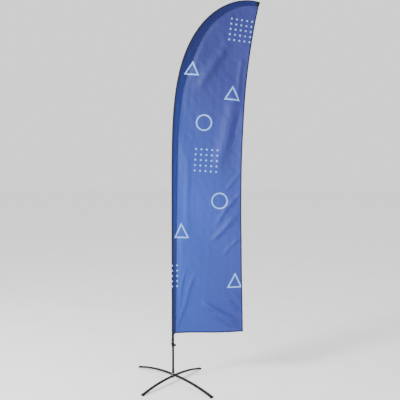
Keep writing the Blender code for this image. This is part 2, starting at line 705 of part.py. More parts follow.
front = [Vector((CORD_TRACK_RADIUS + away, angle, z)) for away, angle, z in STRAND]
back = [Vector((away, 360.0 - angle, z)) for away, angle, z in reversed(front[:-1])]
cord_points = []
for away, angle, z in smooth_path(front + back, 3):
    turn = math.radians(angle)
    cord_points.append((-away * math.cos(turn), -away * math.sin(turn), z))

cord_curve = bpy.data.curves.new("tension_cord", "CURVE")
cord_curve.dimensions = "3D"
cord_spline = cord_curve.splines.new("POLY")
cord_spline.points.add(len(cord_points) - 1)
for slot, point in zip(cord_spline.points, cord_points):
    slot.co = (*point, 1.0)
cord_curve.bevel_depth = CORD_RADIUS
cord_curve.bevel_resolution = 2
cord_curve.use_fill_caps = True
cord_curve.materials.append(BLACK_ELASTIC)
tension_cord = bpy.data.objects.new("tension_cord", cord_curve)
tension_cord.parent = pole_slide
bpy.context.scene.collection.objects.link(tension_cord)


# ======================================================================================
# flag: sleeve, tip pocket, panel and hems
# ======================================================================================
SLEEVE_START = FLAG_BOTTOM  # the seam's lower end; the leading corner hangs SLEEVE_DROP below it


def flag_share(length):
    return (length - SLEEVE_START) / (POLE_LENGTH - SLEEVE_START)


def eased(length, stops):
    """A value at a length, blended smoothly between (share, value) stops."""
    share = min(1.0, max(0.0, flag_share(length)))
    for (low, a), (high, b) in zip(stops, stops[1:]):
        if share <= high:
            t = (share - low) / (high - low)
            return a + (b - a) * t * t * (3 - 2 * t)
    return stops[-1][1]


def fullest(radius):
    """The space the sleeve needs round a tube that has a ferrule on it."""
    return radius + GAP + FERRULE_WALL + SLEEVE_GAP


CAP_FULLEST = cap_bore + TIP_CAP_WALL + SLEEVE_GAP
BORE_LENGTHS = (SLEEVE_START, FIRST_MOUTH, SECOND_MOUTH, THIRD_MOUTH, cap_start, POLE_LENGTH)
BORE_RADII = (
    fullest(BOTTOM_RADIUS) + SLEEVE_MOUTH_EASE,
    fullest(BOTTOM_RADIUS),
    fullest(MIDDLE_RADIUS),
    fullest(UPPER_RADIUS),
    CAP_FULLEST,
    CAP_FULLEST,
)


def sleeve_bore(length):
    return float(np.interp(length, BORE_LENGTHS, BORE_RADII))


def seam_out(length):
    """How far the sleeve's seam is from the pole's centre line."""
    return eased(length, SLEEVE_WIDTHS) - sleeve_bore(length) - SLEEVE_WALL


def teardrop(radius, reach, half_seam):
    """The sleeve's section: round the pole, then two straight sides that close on the seam."""
    to_seam = math.hypot(reach, half_seam)
    touch = math.atan2(half_seam, reach) + math.acos(radius / to_seam)
    found = []
    for i in range(SLEEVE_ARC_POINTS):
        a = touch + (2 * math.pi - 2 * touch) * i / (SLEEVE_ARC_POINTS - 1)
        found.append((radius * math.cos(a), radius * math.sin(a)))
    return [*found, (reach, -half_seam), (reach, half_seam)]


def sleeve_outside(length):
    return teardrop(sleeve_bore(length) + SLEEVE_WALL, seam_out(length), SEAM_THICKNESS / 2)


def sleeve_inside(length):
    return teardrop(sleeve_bore(length), seam_out(length) - SEAM_ALLOWANCE, GAP)


def on_pole(length, loop):
    return [across(length, n, y) for n, y in loop]


def sleeve_mouth(loop):
    """The sleeve's bottom ring, cut on a slant: its seam is SLEEVE_DROP above its leading corner."""
    leading = sleeve_bore(SLEEVE_START) + SLEEVE_WALL
    slant = SLEEVE_DROP / (seam_out(SLEEVE_START) + leading)
    return [Vector((n, y, SLEEVE_START - slant * (seam_out(SLEEVE_START) - n))) for n, y in loop]


MOUTHS = (FIRST_MOUTH, SECOND_MOUTH, THIRD_MOUTH)


def seam_places(start, end):
    """The shared places and the tube mouths, where the pole is fullest, for the sleeve and the panel."""
    nearest = 0.004
    kept = [s for s in places(start, end) if min(abs(s - mouth) for mouth in MOUTHS) > nearest]
    return sorted([*kept, *MOUTHS])


sleeve_stops = seam_places(SLEEVE_START, POCKET_START - GAP)
sleeve_outer = [sleeve_mouth(sleeve_outside(SLEEVE_START))]
sleeve_inner = [sleeve_mouth(sleeve_inside(SLEEVE_START))]
for s in sleeve_stops[1:]:
    sleeve_outer.append(on_pole(s, sleeve_outside(s)))
    sleeve_inner.append(on_pole(s, sleeve_inside(s)))
solid("flag_sleeve", shell(sleeve_outer, sleeve_inner), SLEEVE_POLYESTER, pole_slide)

pocket_stops = places(POCKET_START, POLE_LENGTH)
pocket_outer = [on_pole(s, sleeve_outside(s)) for s in pocket_stops]
pocket_inner_stops = [*pocket_stops[:-1], POLE_LENGTH - TIP_POCKET_WALL]
pocket_inner = [on_pole(s, sleeve_inside(s)) for s in pocket_inner_stops]
solid("flag_tip_pocket", shell(pocket_outer, pocket_inner, closed_end=True), BLACK_WEBBING, pole_slide)

# The webbing tab wraps the pole's leading half under the sleeve's mouth.
TAB_BORE = BOTTOM_RADIUS + 2 * GAP
TAB_STEPS = 8
tab_turns = [math.radians(180.0 + TAB_WRAP * (i / TAB_STEPS - 0.5)) for i in range(TAB_STEPS + 1)]
tab_arc = [(TAB_BORE * math.cos(a), TAB_BORE * math.sin(a)) for a in tab_turns]
tab_outer = TAB_BORE + TAB_WALL
tab_arc += [(tab_outer * math.cos(a), tab_outer * math.sin(a)) for a in reversed(tab_turns)]
tab_top = [point - Vector((0.0, 0.0, GAP)) for point in sleeve_mouth(tab_arc)]
solid("strap_tab", loft([level(tab_arc, TAB_BOTTOM), tab_top]), BLACK_WEBBING, pole_slide)


def bezier(points, t):
    a, b, c, d = points
    u = 1 - t
    return a * u**3 + 3 * b * u**2 * t + 3 * c * u * t**2 + d * t**3


BOTTOM_CORNER = Vector((BOTTOM_REACH, 0.0, FLAG_BOTTOM + BOTTOM_RISE))
TIP_CORNER = across(POLE_LENGTH, seam_out(POLE_LENGTH))
TRAILING = (
    BOTTOM_CORNER,
    BOTTOM_CORNER + Vector((TRAILING_LOW_HANDLE[0], 0.0, TRAILING_LOW_HANDLE[1])),
    TIP_CORNER + Vector((TRAILING_TIP_HANDLE[0], 0.0, TRAILING_TIP_HANDLE[1])),
    TIP_CORNER,
)


def trailing(t, inward=0.0, side=0.0):
    """A point on the trailing edge, 0 at the bottom corner and 1 at the tip, moved in from the edge."""
    nearby = 0.001
    run = (bezier(TRAILING, min(1.0, t + nearby)) - bezier(TRAILING, max(0.0, t - nearby))).normalized()
    inward_way = Vector((-run.z, 0.0, run.x))
    return bezier(TRAILING, t) + inward_way * inward + Vector((0.0, side, 0.0))


HEM_HALF = PANEL_THICKNESS / 2 + GAP + HEM_WALL
PANEL_INSET = HEM_WALL + SLEEVE_GAP
HEM_SECTION = (
    (0.0, -HEM_HALF),
    (HEM_DEPTH, -HEM_HALF),
    (HEM_DEPTH, -HEM_HALF + HEM_WALL),
    (HEM_WALL, -HEM_HALF + HEM_WALL),
    (HEM_WALL, HEM_HALF - HEM_WALL),
    (HEM_DEPTH, HEM_HALF - HEM_WALL),
    (HEM_DEPTH, HEM_HALF),
    (0.0, HEM_HALF),
)

# The panel is a ladder of rungs from the seam to the trailing edge, front and back.
LOW_RUN = 3 * TRAILING_LOW_HANDLE[1]  # metres of trailing edge for each unit of its parameter at the corner
panel_stops = seam_places(SLEEVE_START + PANEL_INSET, POLE_LENGTH - PANEL_INSET)
seam_line = [across(s, seam_out(s) + GAP) for s in panel_stops]
seam_run = [0.0]
for near, far in zip(seam_line, seam_line[1:]):
    seam_run.append(seam_run[-1] + (far - near).length)
lowest = PANEL_INSET / LOW_RUN
edge_stops = [lowest + (1 - TIP_TRIM - lowest) * run / seam_run[-1] for run in seam_run]
half = Vector((0.0, PANEL_THICKNESS / 2, 0.0))
panel_rings = []
for near, t in zip(seam_line, edge_stops):
    far = trailing(t, PANEL_INSET)
    panel_rings.append([near - half, far - half, far + half, near + half])
solid("flag_panel", loft(panel_rings), BLUE_POLYESTER, pole_slide)

# The trailing hem turns where the panel does, so that the panel's edge stays inside its fold.
hem_rings = []
for t in [0.0, *edge_stops[1:]]:
    hem_rings.append([trailing(t, inward, side) for inward, side in HEM_SECTION])
solid("flag_trailing_hem", loft(hem_rings), NAVY_BINDING, pole_slide)

# The bottom hem runs between the sleeve and the trailing hem, and each end is cut along its neighbour.
bottom_left = []
bottom_right = []
for inward, side in HEM_SECTION:
    bottom_left.append(across(SLEEVE_START + inward, seam_out(SLEEVE_START + inward) + GAP, side))
    bottom_right.append(trailing(inward / LOW_RUN, HEM_DEPTH + GAP, side))
solid("flag_bottom_hem", loft([bottom_left, bottom_right]), NAVY_BINDING, pole_slide)
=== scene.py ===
"""The looks of a feather flag on a folding cross base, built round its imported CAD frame.

Metres, +Z up. The pole stands on the spindle's axis, the flag lies in the XZ plane towards +X, and every
piece rides on the CAD body that carries the real one.
"""

import json
import math

import bmesh
import bpy
import numpy as np
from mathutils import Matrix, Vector
from mathutils.kdtree import KDTree


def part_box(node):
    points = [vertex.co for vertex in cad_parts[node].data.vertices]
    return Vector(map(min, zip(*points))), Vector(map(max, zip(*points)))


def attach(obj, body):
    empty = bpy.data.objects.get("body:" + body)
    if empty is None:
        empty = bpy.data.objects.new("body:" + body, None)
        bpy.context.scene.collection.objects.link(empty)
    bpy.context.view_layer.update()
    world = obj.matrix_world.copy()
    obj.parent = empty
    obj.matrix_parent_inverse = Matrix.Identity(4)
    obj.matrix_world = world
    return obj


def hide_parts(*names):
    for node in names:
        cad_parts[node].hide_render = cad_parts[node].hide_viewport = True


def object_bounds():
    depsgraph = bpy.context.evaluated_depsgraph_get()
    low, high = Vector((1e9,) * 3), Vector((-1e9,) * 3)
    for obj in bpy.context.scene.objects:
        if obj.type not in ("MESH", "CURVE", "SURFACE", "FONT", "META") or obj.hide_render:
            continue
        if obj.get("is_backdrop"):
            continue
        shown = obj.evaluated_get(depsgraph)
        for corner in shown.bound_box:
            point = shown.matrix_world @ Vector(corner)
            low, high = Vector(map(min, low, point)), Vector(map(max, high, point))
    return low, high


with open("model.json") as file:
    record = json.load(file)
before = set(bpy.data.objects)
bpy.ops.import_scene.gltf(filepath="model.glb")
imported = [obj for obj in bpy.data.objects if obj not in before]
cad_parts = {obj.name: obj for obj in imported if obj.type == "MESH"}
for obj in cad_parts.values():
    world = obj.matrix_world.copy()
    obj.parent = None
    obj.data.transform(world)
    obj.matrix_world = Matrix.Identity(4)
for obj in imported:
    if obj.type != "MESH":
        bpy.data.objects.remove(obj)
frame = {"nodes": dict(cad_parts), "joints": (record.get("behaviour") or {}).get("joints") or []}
cad_low, cad_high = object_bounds()
axis_x = frame["joints"][0]["pos_m"][0]  # the spindle and the pole stand here

# ------------------------------
# Leg bars. Flat-oval steel tube bent to a shallow arch and drilled for the spindle, then powder coated
# black. The upper bar is longer, so that it arches over the lower one when the base is folded.
BAR_WIDTH = 0.030
BAR_HEIGHT = 0.012
BAR_WALL = 0.0015
CROWN_HALF = 0.025  # flat for this far each side of the spindle
BAR_POINTS = 121
BAR_END_CENTRE = 0.0095
CAP_HEAD = 0.0203  # a foot cap's head and its gap, from the bar's end to the toe
HOLE_RADIUS = 0.0053
BARS = (
    # name, reach to the toe, azimuth in degrees, CAD body
    ("upper", 0.470, -41.5, "base"),
    ("lower", 0.372, 47.5, "lower_bar"),
)


def colour(hexed):
    """An sRGB hex colour as linear RGBA."""
    parts = [int(hexed[i : i + 2], 16) / 255 for i in (1, 3, 5)]
    return (*[p / 12.92 if p <= 0.04045 else ((p + 0.055) / 1.055) ** 2.4 for p in parts], 1.0)


def add(tree, kind, sockets=None, **settings):
    """Adds a node with its own settings. Sockets hold a value, or the output that feeds them."""
    made = tree.nodes.new(kind)
    for key, value in settings.items():
        setattr(made, key, value)
    for key, value in (sockets or {}).items():
        if isinstance(value, bpy.types.Node):
            value = value.outputs[0]
        if isinstance(value, bpy.types.NodeSocket):
            tree.links.new(value, made.inputs[key])
        else:
            made.inputs[key].default_value = value
    return made


def new_finish(name, by_cut=False, **values):
    """A material with its tree, its Principled shader with constant values on its own sockets, and where a
    point is: on the flat cut of the piece, or in the object."""
    finish = bpy.data.materials.new(name)
    finish.use_nodes = True
    shader = finish.node_tree.nodes["Principled BSDF"]
    for key, value in values.items():
        shader.inputs[key.replace("_", " ")].default_value = value
    if by_cut:
        where = add(finish.node_tree, "ShaderNodeUVMap", uv_map="cut").outputs["UV"]
    else:
        where = add(finish.node_tree, "ShaderNodeTexCoord").outputs["Object"]
    return finish, finish.node_tree, shader, where


def vary(tree, shader, texture, dark, light, low=0.35, high=0.65):
    """Lets a texture move the base colour between a dark and a light shade."""
    ramp = add(tree, "ShaderNodeValToRGB", {"Fac": texture})
    ramp.color_ramp.elements[0].position = low
    ramp.color_ramp.elements[1].position = high
    ramp.color_ramp.elements[0].color = colour(dark)
    ramp.color_ramp.elements[1].color = colour(light)
    tree.links.new(ramp.outputs["Color"], shader.inputs["Base Color"])


def raise_surface(tree, shader, height, distance, strength=1.0):
    """Gives the shader a bump of a real height in metres."""
    bump = add(tree, "ShaderNodeBump", {"Height": height, "Distance": distance, "Strength": strength})
    tree.links.new(bump.outputs["Normal"], shader.inputs["Normal"])


def new_piece(name, mesh, sharp=32.0):
    """The object of a mesh, smooth, with edges sharper than the angle left crisp."""
    mesh.shade_smooth()
    mesh.set_sharp_from_angle(angle=math.radians(sharp))
    piece = bpy.data.objects.new(name, mesh)
    bpy.context.scene.collection.objects.link(piece)
    return piece


def loft(name, rows, round_rows=True, closed=False, ends=False, uv=None, marks=None, sharp=32.0):
    """A mesh through rows of points, which may close on themselves, run round to the first or get ends."""
    rows = np.asarray(rows, float)
    count, width = rows.shape[:2]
    grid = np.arange(count * width).reshape(count, width)
    if round_rows:
        grid = np.concatenate([grid, grid[:, :1]], axis=1)
    if closed:
        grid = np.concatenate([grid, grid[:1]], axis=0)
    quads = np.stack([grid[:-1, :-1], grid[:-1, 1:], grid[1:, 1:], grid[1:, :-1]], axis=-1)
    faces = quads.reshape(-1, 4).tolist()
    if ends:
        faces += [grid[0, :width].tolist(), grid[-1, :width].tolist()]
    mesh = bpy.data.meshes.new(name)
    mesh.from_pydata(rows.reshape(-1, 3).tolist(), [], faces)
    for key, values in (marks or {}).items():
        mark = mesh.attributes.new(key, "FLOAT", "POINT")
        mark.data.foreach_set("value", np.asarray(values, np.float32).ravel())
    if uv is not None:
        corners = np.stack([uv[:-1, :-1], uv[:-1, 1:], uv[1:, 1:], uv[1:, :-1]], axis=-2).reshape(-1, 2)
        cut = np.zeros((len(mesh.loops), 2), np.float32)  # the ends keep zeros
        cut[: len(corners)] = corners
        mesh.uv_layers.new(name="cut").data.foreach_set("uv", cut.ravel())
    if round_rows and (closed or ends):
        bm = bmesh.new()
        bm.from_mesh(mesh)
        bmesh.ops.recalc_face_normals(bm, faces=bm.faces)
        bm.to_mesh(mesh)
        bm.free()
    return new_piece(name, mesh, sharp)


def fit(piece, finish, body, slot, *stands_for):
    """Gives a piece its finish and its CAD body, and lets it stand for CAD nodes. The slot is not used."""
    piece.data.materials.clear()
    piece.data.materials.append(finish)
    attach(piece, body)
    if stands_for:
        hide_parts(*stands_for)
    return piece


def settle(piece):
    """Makes the mesh that the piece's modifiers give its own, and takes the modifiers off."""
    graph = bpy.context.evaluated_depsgraph_get()
    mesh = bpy.data.meshes.new_from_object(piece.evaluated_get(graph), depsgraph=graph)
    piece.modifiers.clear()
    piece.data = mesh
    return piece


def circle(radius, sides):
    """Even points round a circle."""
    turns = np.arange(sides) * 2 * math.pi / sides
    return np.stack([radius * np.cos(turns), radius * np.sin(turns)], axis=-1)


def turned(name, profile, sides=64, ends=False):
    """A piece of revolution about the spindle's axis, from (radius, height) points round its section."""
    rows = []
    for radius, height in profile:
        around = circle(radius, sides)
        rows.append(np.column_stack([around[:, 0] + axis_x, around[:, 1], np.full(sides, height)]))
    return loft(name, rows, closed=not ends, ends=ends)


# Powder coat: a satin black skin with the fine orange peel of baked powder.
powder_coat, tree, shader, where = new_finish(
    "powder_coated_steel", Roughness=0.42, IOR=1.5, Specular_IOR_Level=0.32
)
peel = add(tree, "ShaderNodeTexNoise", {"Vector": where, "Scale": 700.0, "Detail": 2.0})
scuffs = add(tree, "ShaderNodeTexNoise", {"Vector": where, "Scale": 45.0, "Detail": 6.0, "Roughness": 0.7})
vary(tree, shader, scuffs, "#080809", "#131315")
worn = add(tree, "ShaderNodeMapRange", {"Value": scuffs, "To Min": 0.34, "To Max": 0.54})
tree.links.new(worn.outputs["Result"], shader.inputs["Roughness"])
raise_surface(tree, shader, peel, 0.00025)


def flat_oval(width, height, corner=9):
    """A flat-oval section, as (across, up) points."""
    radius = height / 2
    turns = np.linspace(-math.pi / 2, math.pi / 2, corner)
    half = np.stack([width / 2 - radius + radius * np.cos(turns), radius * np.sin(turns)], axis=-1)
    return np.concatenate([half, -half])


def bar_line(reach, azimuth, crown, distances):
    """Centres of a bar's arch, and its sideways and upward directions, at distances from the spindle."""
    span = reach - CAP_HEAD - CROWN_HALF
    share = np.maximum(0.0, np.abs(distances) - CROWN_HALF) / span
    drop = crown - BAR_END_CENTRE
    height = BAR_END_CENTRE + drop * (1 - share**2)
    slope = np.arctan(-2 * drop * share / span * np.sign(distances))
    turn = math.radians(azimuth)
    along = np.array([math.cos(turn), math.sin(turn), 0.0])
    sideways = np.array([-along[1], along[0], 0.0])
    up = np.outer(np.cos(slope), [0.0, 0.0, 1.0]) - np.outer(np.sin(slope), along)
    centres = np.outer(distances, along) + np.outer(height, [0.0, 0.0, 1.0])
    return centres + [axis_x, 0.0, 0.0], sideways, up


def bar_rows(section, arch):
    """A flat section set across each point of a bar's arch."""
    centres, sideways, up = arch
    return centres[:, None] + section[None, :, :1] * sideways + section[None, :, 1:] * up[:, None]


for which, reach, azimuth, body in BARS:
    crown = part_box(f"leg_bar_{which}")[1].z - BAR_HEIGHT / 2
    end = reach - CAP_HEAD
    arch = bar_line(reach, azimuth, crown, np.linspace(-end, end, BAR_POINTS))
    outer = bar_rows(flat_oval(BAR_WIDTH, BAR_HEIGHT), arch)
    inner = bar_rows(flat_oval(BAR_WIDTH - 2 * BAR_WALL, BAR_HEIGHT - 2 * BAR_WALL), arch)
    bar = loft(f"arched_bar_{which}", np.concatenate([outer, inner[::-1]]), closed=True)
    drill = turned("drill", [(HOLE_RADIUS, crown + way * BAR_HEIGHT) for way in (-1, 1)], 48, ends=True)
    hole = bar.modifiers.new("hole", "BOOLEAN")
    hole.object = drill
    hole.solver = "EXACT"
    settle(bar)
    bpy.data.objects.remove(drill, do_unlink=True)
    fit(bar, powder_coat, body, "black_steel", f"leg_bar_{which}")

# ------------------------------
# Foot caps. Moulded polypropylene plugs pushed into the ends of the bars: a head with a flat sole on the
# floor and rounded edges, three grip ribs across its top, and a tongue inside the tube.
CAP_EDGE = 0.0011
RIB_COUNT = 3
RIB_RADIUS = 0.0006
RIB_LENGTH = 0.020
RIB_STEP = 0.0032
RIB_START = 0.0065  # the first rib's distance in from the toe
MERGE = 1e-5  # corners closer than this are one corner


def softened(name, node, edge):
    """A copy of a CAD node with its faces merged and its edges rounded, as a mould or a tool leaves them."""
    bm = bmesh.new()
    bm.from_mesh(frame["nodes"][node].data)
    bmesh.ops.remove_doubles(bm, verts=bm.verts, dist=MERGE)
    bmesh.ops.dissolve_limit(bm, angle_limit=math.radians(1.0), verts=bm.verts, edges=bm.edges)
    mesh = bpy.data.meshes.new(name)
    bm.to_mesh(mesh)
    bm.free()
    piece = new_piece(name, mesh)
    rounding = piece.modifiers.new("rounding", "BEVEL")
    rounding.width = edge
    rounding.segments = 3
    rounding.limit_method = "ANGLE"
    rounding.angle_limit = math.radians(24.0)
    return settle(piece)


def new_tree(name, *inputs):
    """A Geometry Nodes tree with named inputs. Returns it with its input and output nodes."""
    tree = bpy.data.node_groups.new(name, "GeometryNodeTree")
    tree.interface.new_socket("Geometry", in_out="OUTPUT", socket_type="NodeSocketGeometry")
    tree.interface.new_socket("Geometry", in_out="INPUT", socket_type="NodeSocketGeometry")
    for key, kind in inputs:
        tree.interface.new_socket(key, in_out="INPUT", socket_type="NodeSocket" + kind)
    return tree, add(tree, "NodeGroupInput"), add(tree, "NodeGroupOutput")


def grow(piece, tree, **values):
    """Runs a tree on a piece with its inputs set, and keeps the result as the piece's plain mesh."""
    growth = piece.modifiers.new(tree.name, "NODES")
    growth.node_group = tree
    for socket in tree.interface.items_tree:
        key = socket.name.replace(" ", "_")
        if socket.in_out == "INPUT" and key in values:
            growth[socket.identifier] = values[key]
    return settle(piece)


# Moulded polypropylene: matt black, with the spark-eroded grain of a tool, drawn at 1 mm so that it shows.
moulded, tree, shader, where = new_finish(
    "moulded_polypropylene", Roughness=0.5, IOR=1.49, Specular_IOR_Level=0.3
)
grain = add(tree, "ShaderNodeTexVoronoi", {"Vector": where, "Scale": 1000.0})
dust = add(tree, "ShaderNodeTexNoise", {"Vector": where, "Scale": 60.0, "Detail": 5.0})
vary(tree, shader, dust, "#09090A", "#141415")
raise_surface(tree, shader, grain.outputs["Distance"], 0.00012, 0.7)

# The ribs: a rod laid across the cap at each point of the carrier line.
rib_inputs = (("Radius", "Float"), ("Length", "Float"), ("Turn", "Rotation"), ("Finish", "Material"))
ribs, given, made = new_tree("grip_ribs", *rib_inputs)
points = add(ribs, "GeometryNodeMeshToPoints", {"Mesh": given.outputs["Geometry"]})
sizes = {"Vertices": 12, "Radius": given.outputs["Radius"], "Depth": given.outputs["Length"]}
rod = add(ribs, "GeometryNodeMeshCylinder", sizes)
placing = {"Points": points, "Instance": rod.outputs["Mesh"], "Rotation": given.outputs["Turn"]}
laid = add(ribs, "GeometryNodeInstanceOnPoints", placing)
real = add(ribs, "GeometryNodeRealizeInstances", {"Geometry": laid})
done = add(ribs, "GeometryNodeSetMaterial", {"Geometry": real, "Material": given.outputs["Finish"]})
ribs.links.new(done.outputs[0], made.inputs["Geometry"])


def carrier(name, points, chains=None):
    """A line of loose vertices, or chains of edges, for a tree to place its shapes along."""
    mesh = bpy.data.meshes.new(name)
    mesh.from_pydata([tuple(p) for p in points], chains or [], [])
    piece = bpy.data.objects.new(name, mesh)
    bpy.context.scene.collection.objects.link(piece)
    return piece


for which, reach, azimuth, body in BARS:
    rib_places = []
    for end_name in ("front", "back"):
        node = f"foot_cap_{which}_{end_name}"
        cap = softened(f"moulded_cap_{which}_{end_name}", node, CAP_EDGE)
        fit(cap, moulded, body, "black_plastic", node)
        low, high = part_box(node)
        middle = (low + high) / 2 - Vector((axis_x, 0.0, 0.0))
        way = Vector((middle.x, middle.y, 0.0)).normalized()
        for i in range(RIB_COUNT):
            above = way * (reach - RIB_START - i * RIB_STEP) + Vector((axis_x, 0.0, 1.0))
            rib_places.append(cap.ray_cast(above, Vector((0.0, 0.0, -1.0)))[1])
    cap_ribs = carrier(f"cap_ribs_{which}", rib_places)
    turn = (math.pi / 2, 0.0, math.radians(azimuth))
    grow(cap_ribs, ribs, Radius=RIB_RADIUS, Length=RIB_LENGTH, Turn=turn, Finish=moulded)
    fit(cap_ribs, moulded, body, "black_plastic")

# ------------------------------
# Spindle and its fastenings. Turned steel, with a flange that clamps the bars between nylon and zinc
# washers and a lock nut, and a plain shaft above for the rotor, held by a washer and a nut.
SPINDLE_RADIUS = 0.0045
STUD_RADIUS = 0.0050
FLANGE_RADIUS = 0.0150
EDGE = 0.0005  # the rounding of a turned edge
NUT_EDGE = 0.0003
THREAD_PITCH = 0.00125
THREAD_DEPTH = 0.00035
THREAD_LEAD = 0.0008  # the cone at a threaded end
GAP = 0.0003  # between pieces that touch


def threaded(radius, low, high):
    """The zigzag section of a thread between two heights."""
    turns = max(1, round((high - low) / THREAD_PITCH))
    step = (high - low) / turns
    found = []
    for i in range(turns):
        found += [(radius, low + step * i), (radius - THREAD_DEPTH, low + step * (i + 0.5))]
    return found


def ring_section(radius, bore, low, high, edge=EDGE):
    """The rounded section of a washer, up its outside and down its bore."""
    rounded = edge * 0.3
    return [
        (radius - edge, low),
        (radius - rounded, low + rounded),
        (radius, low + edge),
        (radius, high - edge),
        (radius - rounded, high - rounded),
        (radius - edge, high),
        (bore + edge / 2, high),
        (bore, high - edge / 2),
        (bore, low + edge / 2),
        (bore + edge / 2, low),
    ]


# Turned steel: bright, with fine rings left by the tool, drawn 0.8 mm apart so that they show.
turned_steel, tree, shader, where = new_finish("turned_steel", Metallic=1.0, Roughness=0.28)
cuts = {"Vector": where, "Scale": 200.0, "Distortion": 0.4}
tool_rings = add(tree, "ShaderNodeTexWave", cuts, bands_direction="Z")
oil = add(tree, "ShaderNodeTexNoise", {"Vector": where, "Scale": 80.0, "Detail": 3.0})
vary(tree, shader, oil, "#7F8184", "#A3A6A9")
raise_surface(tree, shader, tool_rings, 0.00004)

# Zinc plate: pale and slightly blue, with the soft mottle of a dipped and passivated part.
zinc, tree, shader, where = new_finish("zinc_plated_steel", Metallic=1.0, Roughness=0.32)
mottle = add(tree, "ShaderNodeTexNoise", {"Vector": where, "Scale": 250.0, "Detail": 4.0})
vary(tree, shader, mottle, "#B4B8BE", "#DADDE0")
raise_surface(tree, shader, mottle, 0.00005)

# Acetal: milky white, machined from rod, a little waxy.
acetal, tree, shader, where = new_finish("white_acetal", Roughness=0.38, IOR=1.48, Subsurface_Weight=0.1)
lathe_marks = add(tree, "ShaderNodeTexWave", {"Vector": where, "Scale": 160.0}, bands_direction="Z")
cloudy = add(tree, "ShaderNodeTexNoise", {"Vector": where, "Scale": 120.0})
vary(tree, shader, cloudy, "#D3D0C6", "#E4E2DA")
raise_surface(tree, shader, lathe_marks, 0.00003)

spindle_low, spindle_high = (corner.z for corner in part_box("spindle"))
flange_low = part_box("leg_bar_upper")[1].z + GAP
flange_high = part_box("thrust_washer")[0].z - GAP
nut_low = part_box("lock_nut")[0].z
top_nut_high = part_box("spindle_top_nut")[1].z
spindle_profile = [
    (STUD_RADIUS - THREAD_LEAD, spindle_low),
    *threaded(STUD_RADIUS, spindle_low + THREAD_LEAD, nut_low + 0.006),
    (STUD_RADIUS, nut_low + 0.0065),
    (STUD_RADIUS, flange_low),
    (FLANGE_RADIUS - 2 * EDGE, flange_low),
    (FLANGE_RADIUS, flange_low + 2 * EDGE),
    (FLANGE_RADIUS, flange_high - 3 * EDGE),
    (FLANGE_RADIUS - EDGE, flange_high - EDGE),
    (FLANGE_RADIUS - 3 * EDGE, flange_high),
    (SPINDLE_RADIUS + EDGE, flange_high),
    (SPINDLE_RADIUS, flange_high + EDGE),
    (SPINDLE_RADIUS, top_nut_high - 0.007),
    *threaded(SPINDLE_RADIUS, top_nut_high - 0.0065, spindle_high - THREAD_LEAD),
    (SPINDLE_RADIUS - THREAD_LEAD, spindle_high),
]
fit(turned("turned_spindle", spindle_profile, ends=True), turned_steel, "base", "turned_steel", "spindle")

for name, node, bore, finish, slot in (
    ("thrust_ring", "thrust_washer", SPINDLE_RADIUS, zinc, "zinc_steel"),
    ("washer_under_bars", "lock_washer", STUD_RADIUS, zinc, "zinc_steel"),
    ("retaining_ring", "spindle_top_washer", SPINDLE_RADIUS, zinc, "zinc_steel"),
    ("nylon_spacer", "bar_spacer", STUD_RADIUS, acetal, "white_acetal"),
):
    low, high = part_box(node)
    profile = ring_section((high.x - low.x) / 2, bore + GAP, low.z, high.z)
    fit(turned(name, profile), finish, "base", slot, node)

for name, node in (("lock_nut_hexagon", "lock_nut"), ("retaining_nut", "spindle_top_nut")):
    fit(softened(name, node, NUT_EDGE), zinc, "base", "zinc_steel", node)
for node, slot, finish in (
    ("crush_bush_upper", "zinc_steel", zinc),
    ("crush_bush_lower", "zinc_steel", zinc),
    ("rotor_bush_low", "white_acetal", acetal),
    ("rotor_bush_top", "white_acetal", acetal),
):
    bush = frame["nodes"][node]
    bush.data.materials.clear()
    bush.data.materials.append(finish)

# ------------------------------
# Rotor. A flanged steel tube that spins on the spindle between two acetal bushes. The pole's foot slips
# over it and rests on its flange.
rotor_low, rotor_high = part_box("rotor_tube")
flange_radius = (rotor_high.x - rotor_low.x) / 2
flange_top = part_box("pole_tube_bottom")[0].z - GAP
ROTOR_RADIUS = 0.0080
ROTOR_BORE = 0.0066
GROOVE_DEPTH = 0.0004
GROOVE_HEIGHTS = (0.030, 0.070, 0.110)  # of the grease grooves, above the flange
rotor_profile = [
    (flange_radius - EDGE, rotor_low.z),
    (flange_radius, rotor_low.z + EDGE),
    (flange_radius, flange_top - EDGE),
    (flange_radius - EDGE, flange_top),
    (ROTOR_RADIUS + EDGE, flange_top),
    (ROTOR_RADIUS, flange_top + EDGE),
]
for groove in GROOVE_HEIGHTS:
    for depth, offset in ((0.0, -0.0008), (GROOVE_DEPTH, -0.0004), (GROOVE_DEPTH, 0.0004), (0.0, 0.0008)):
        rotor_profile.append((ROTOR_RADIUS - depth, flange_top + groove + offset))
rotor_profile += [
    (ROTOR_RADIUS, rotor_high.z - 0.0015),
    (ROTOR_RADIUS - 0.0006, rotor_high.z),
    (ROTOR_BORE + 0.0003, rotor_high.z),
    (ROTOR_BORE, rotor_high.z - 0.0003),
    (ROTOR_BORE, rotor_low.z),
]
fit(turned("spinning_tube", rotor_profile), turned_steel, "rotor", "turned_steel", "rotor_tube")

# ------------------------------
# Pole. Two black anodised aluminium tubes, a fibreglass tube and a tapered fibreglass rod, plugged one
# into the next. The flag's tension bends the upper two sections over.
POLE_LENGTH = 3.827
BEND_START = 0.40 * POLE_LENGTH
TIP_HEADING = math.radians(108.0)
BEND_POWER = 3.45
JOINT_OVERLAP = 0.10
TUBE_WALL = 0.0016
BOTTOM_RADIUS = 0.0100
MIDDLE_RADIUS = BOTTOM_RADIUS - TUBE_WALL - GAP
UPPER_RADIUS = MIDDLE_RADIUS - TUBE_WALL - GAP
ROD_RADIUS = UPPER_RADIUS - TUBE_WALL - GAP
ROD_END_RADIUS = 0.0024
MOUTH_EDGE = 0.0006  # a mouth is rounded over this length, and by the next value
MOUTH_ROUNDING = 0.0004
ROD_END = POLE_LENGTH - 0.0039  # inside the tip cap, inside the pocket

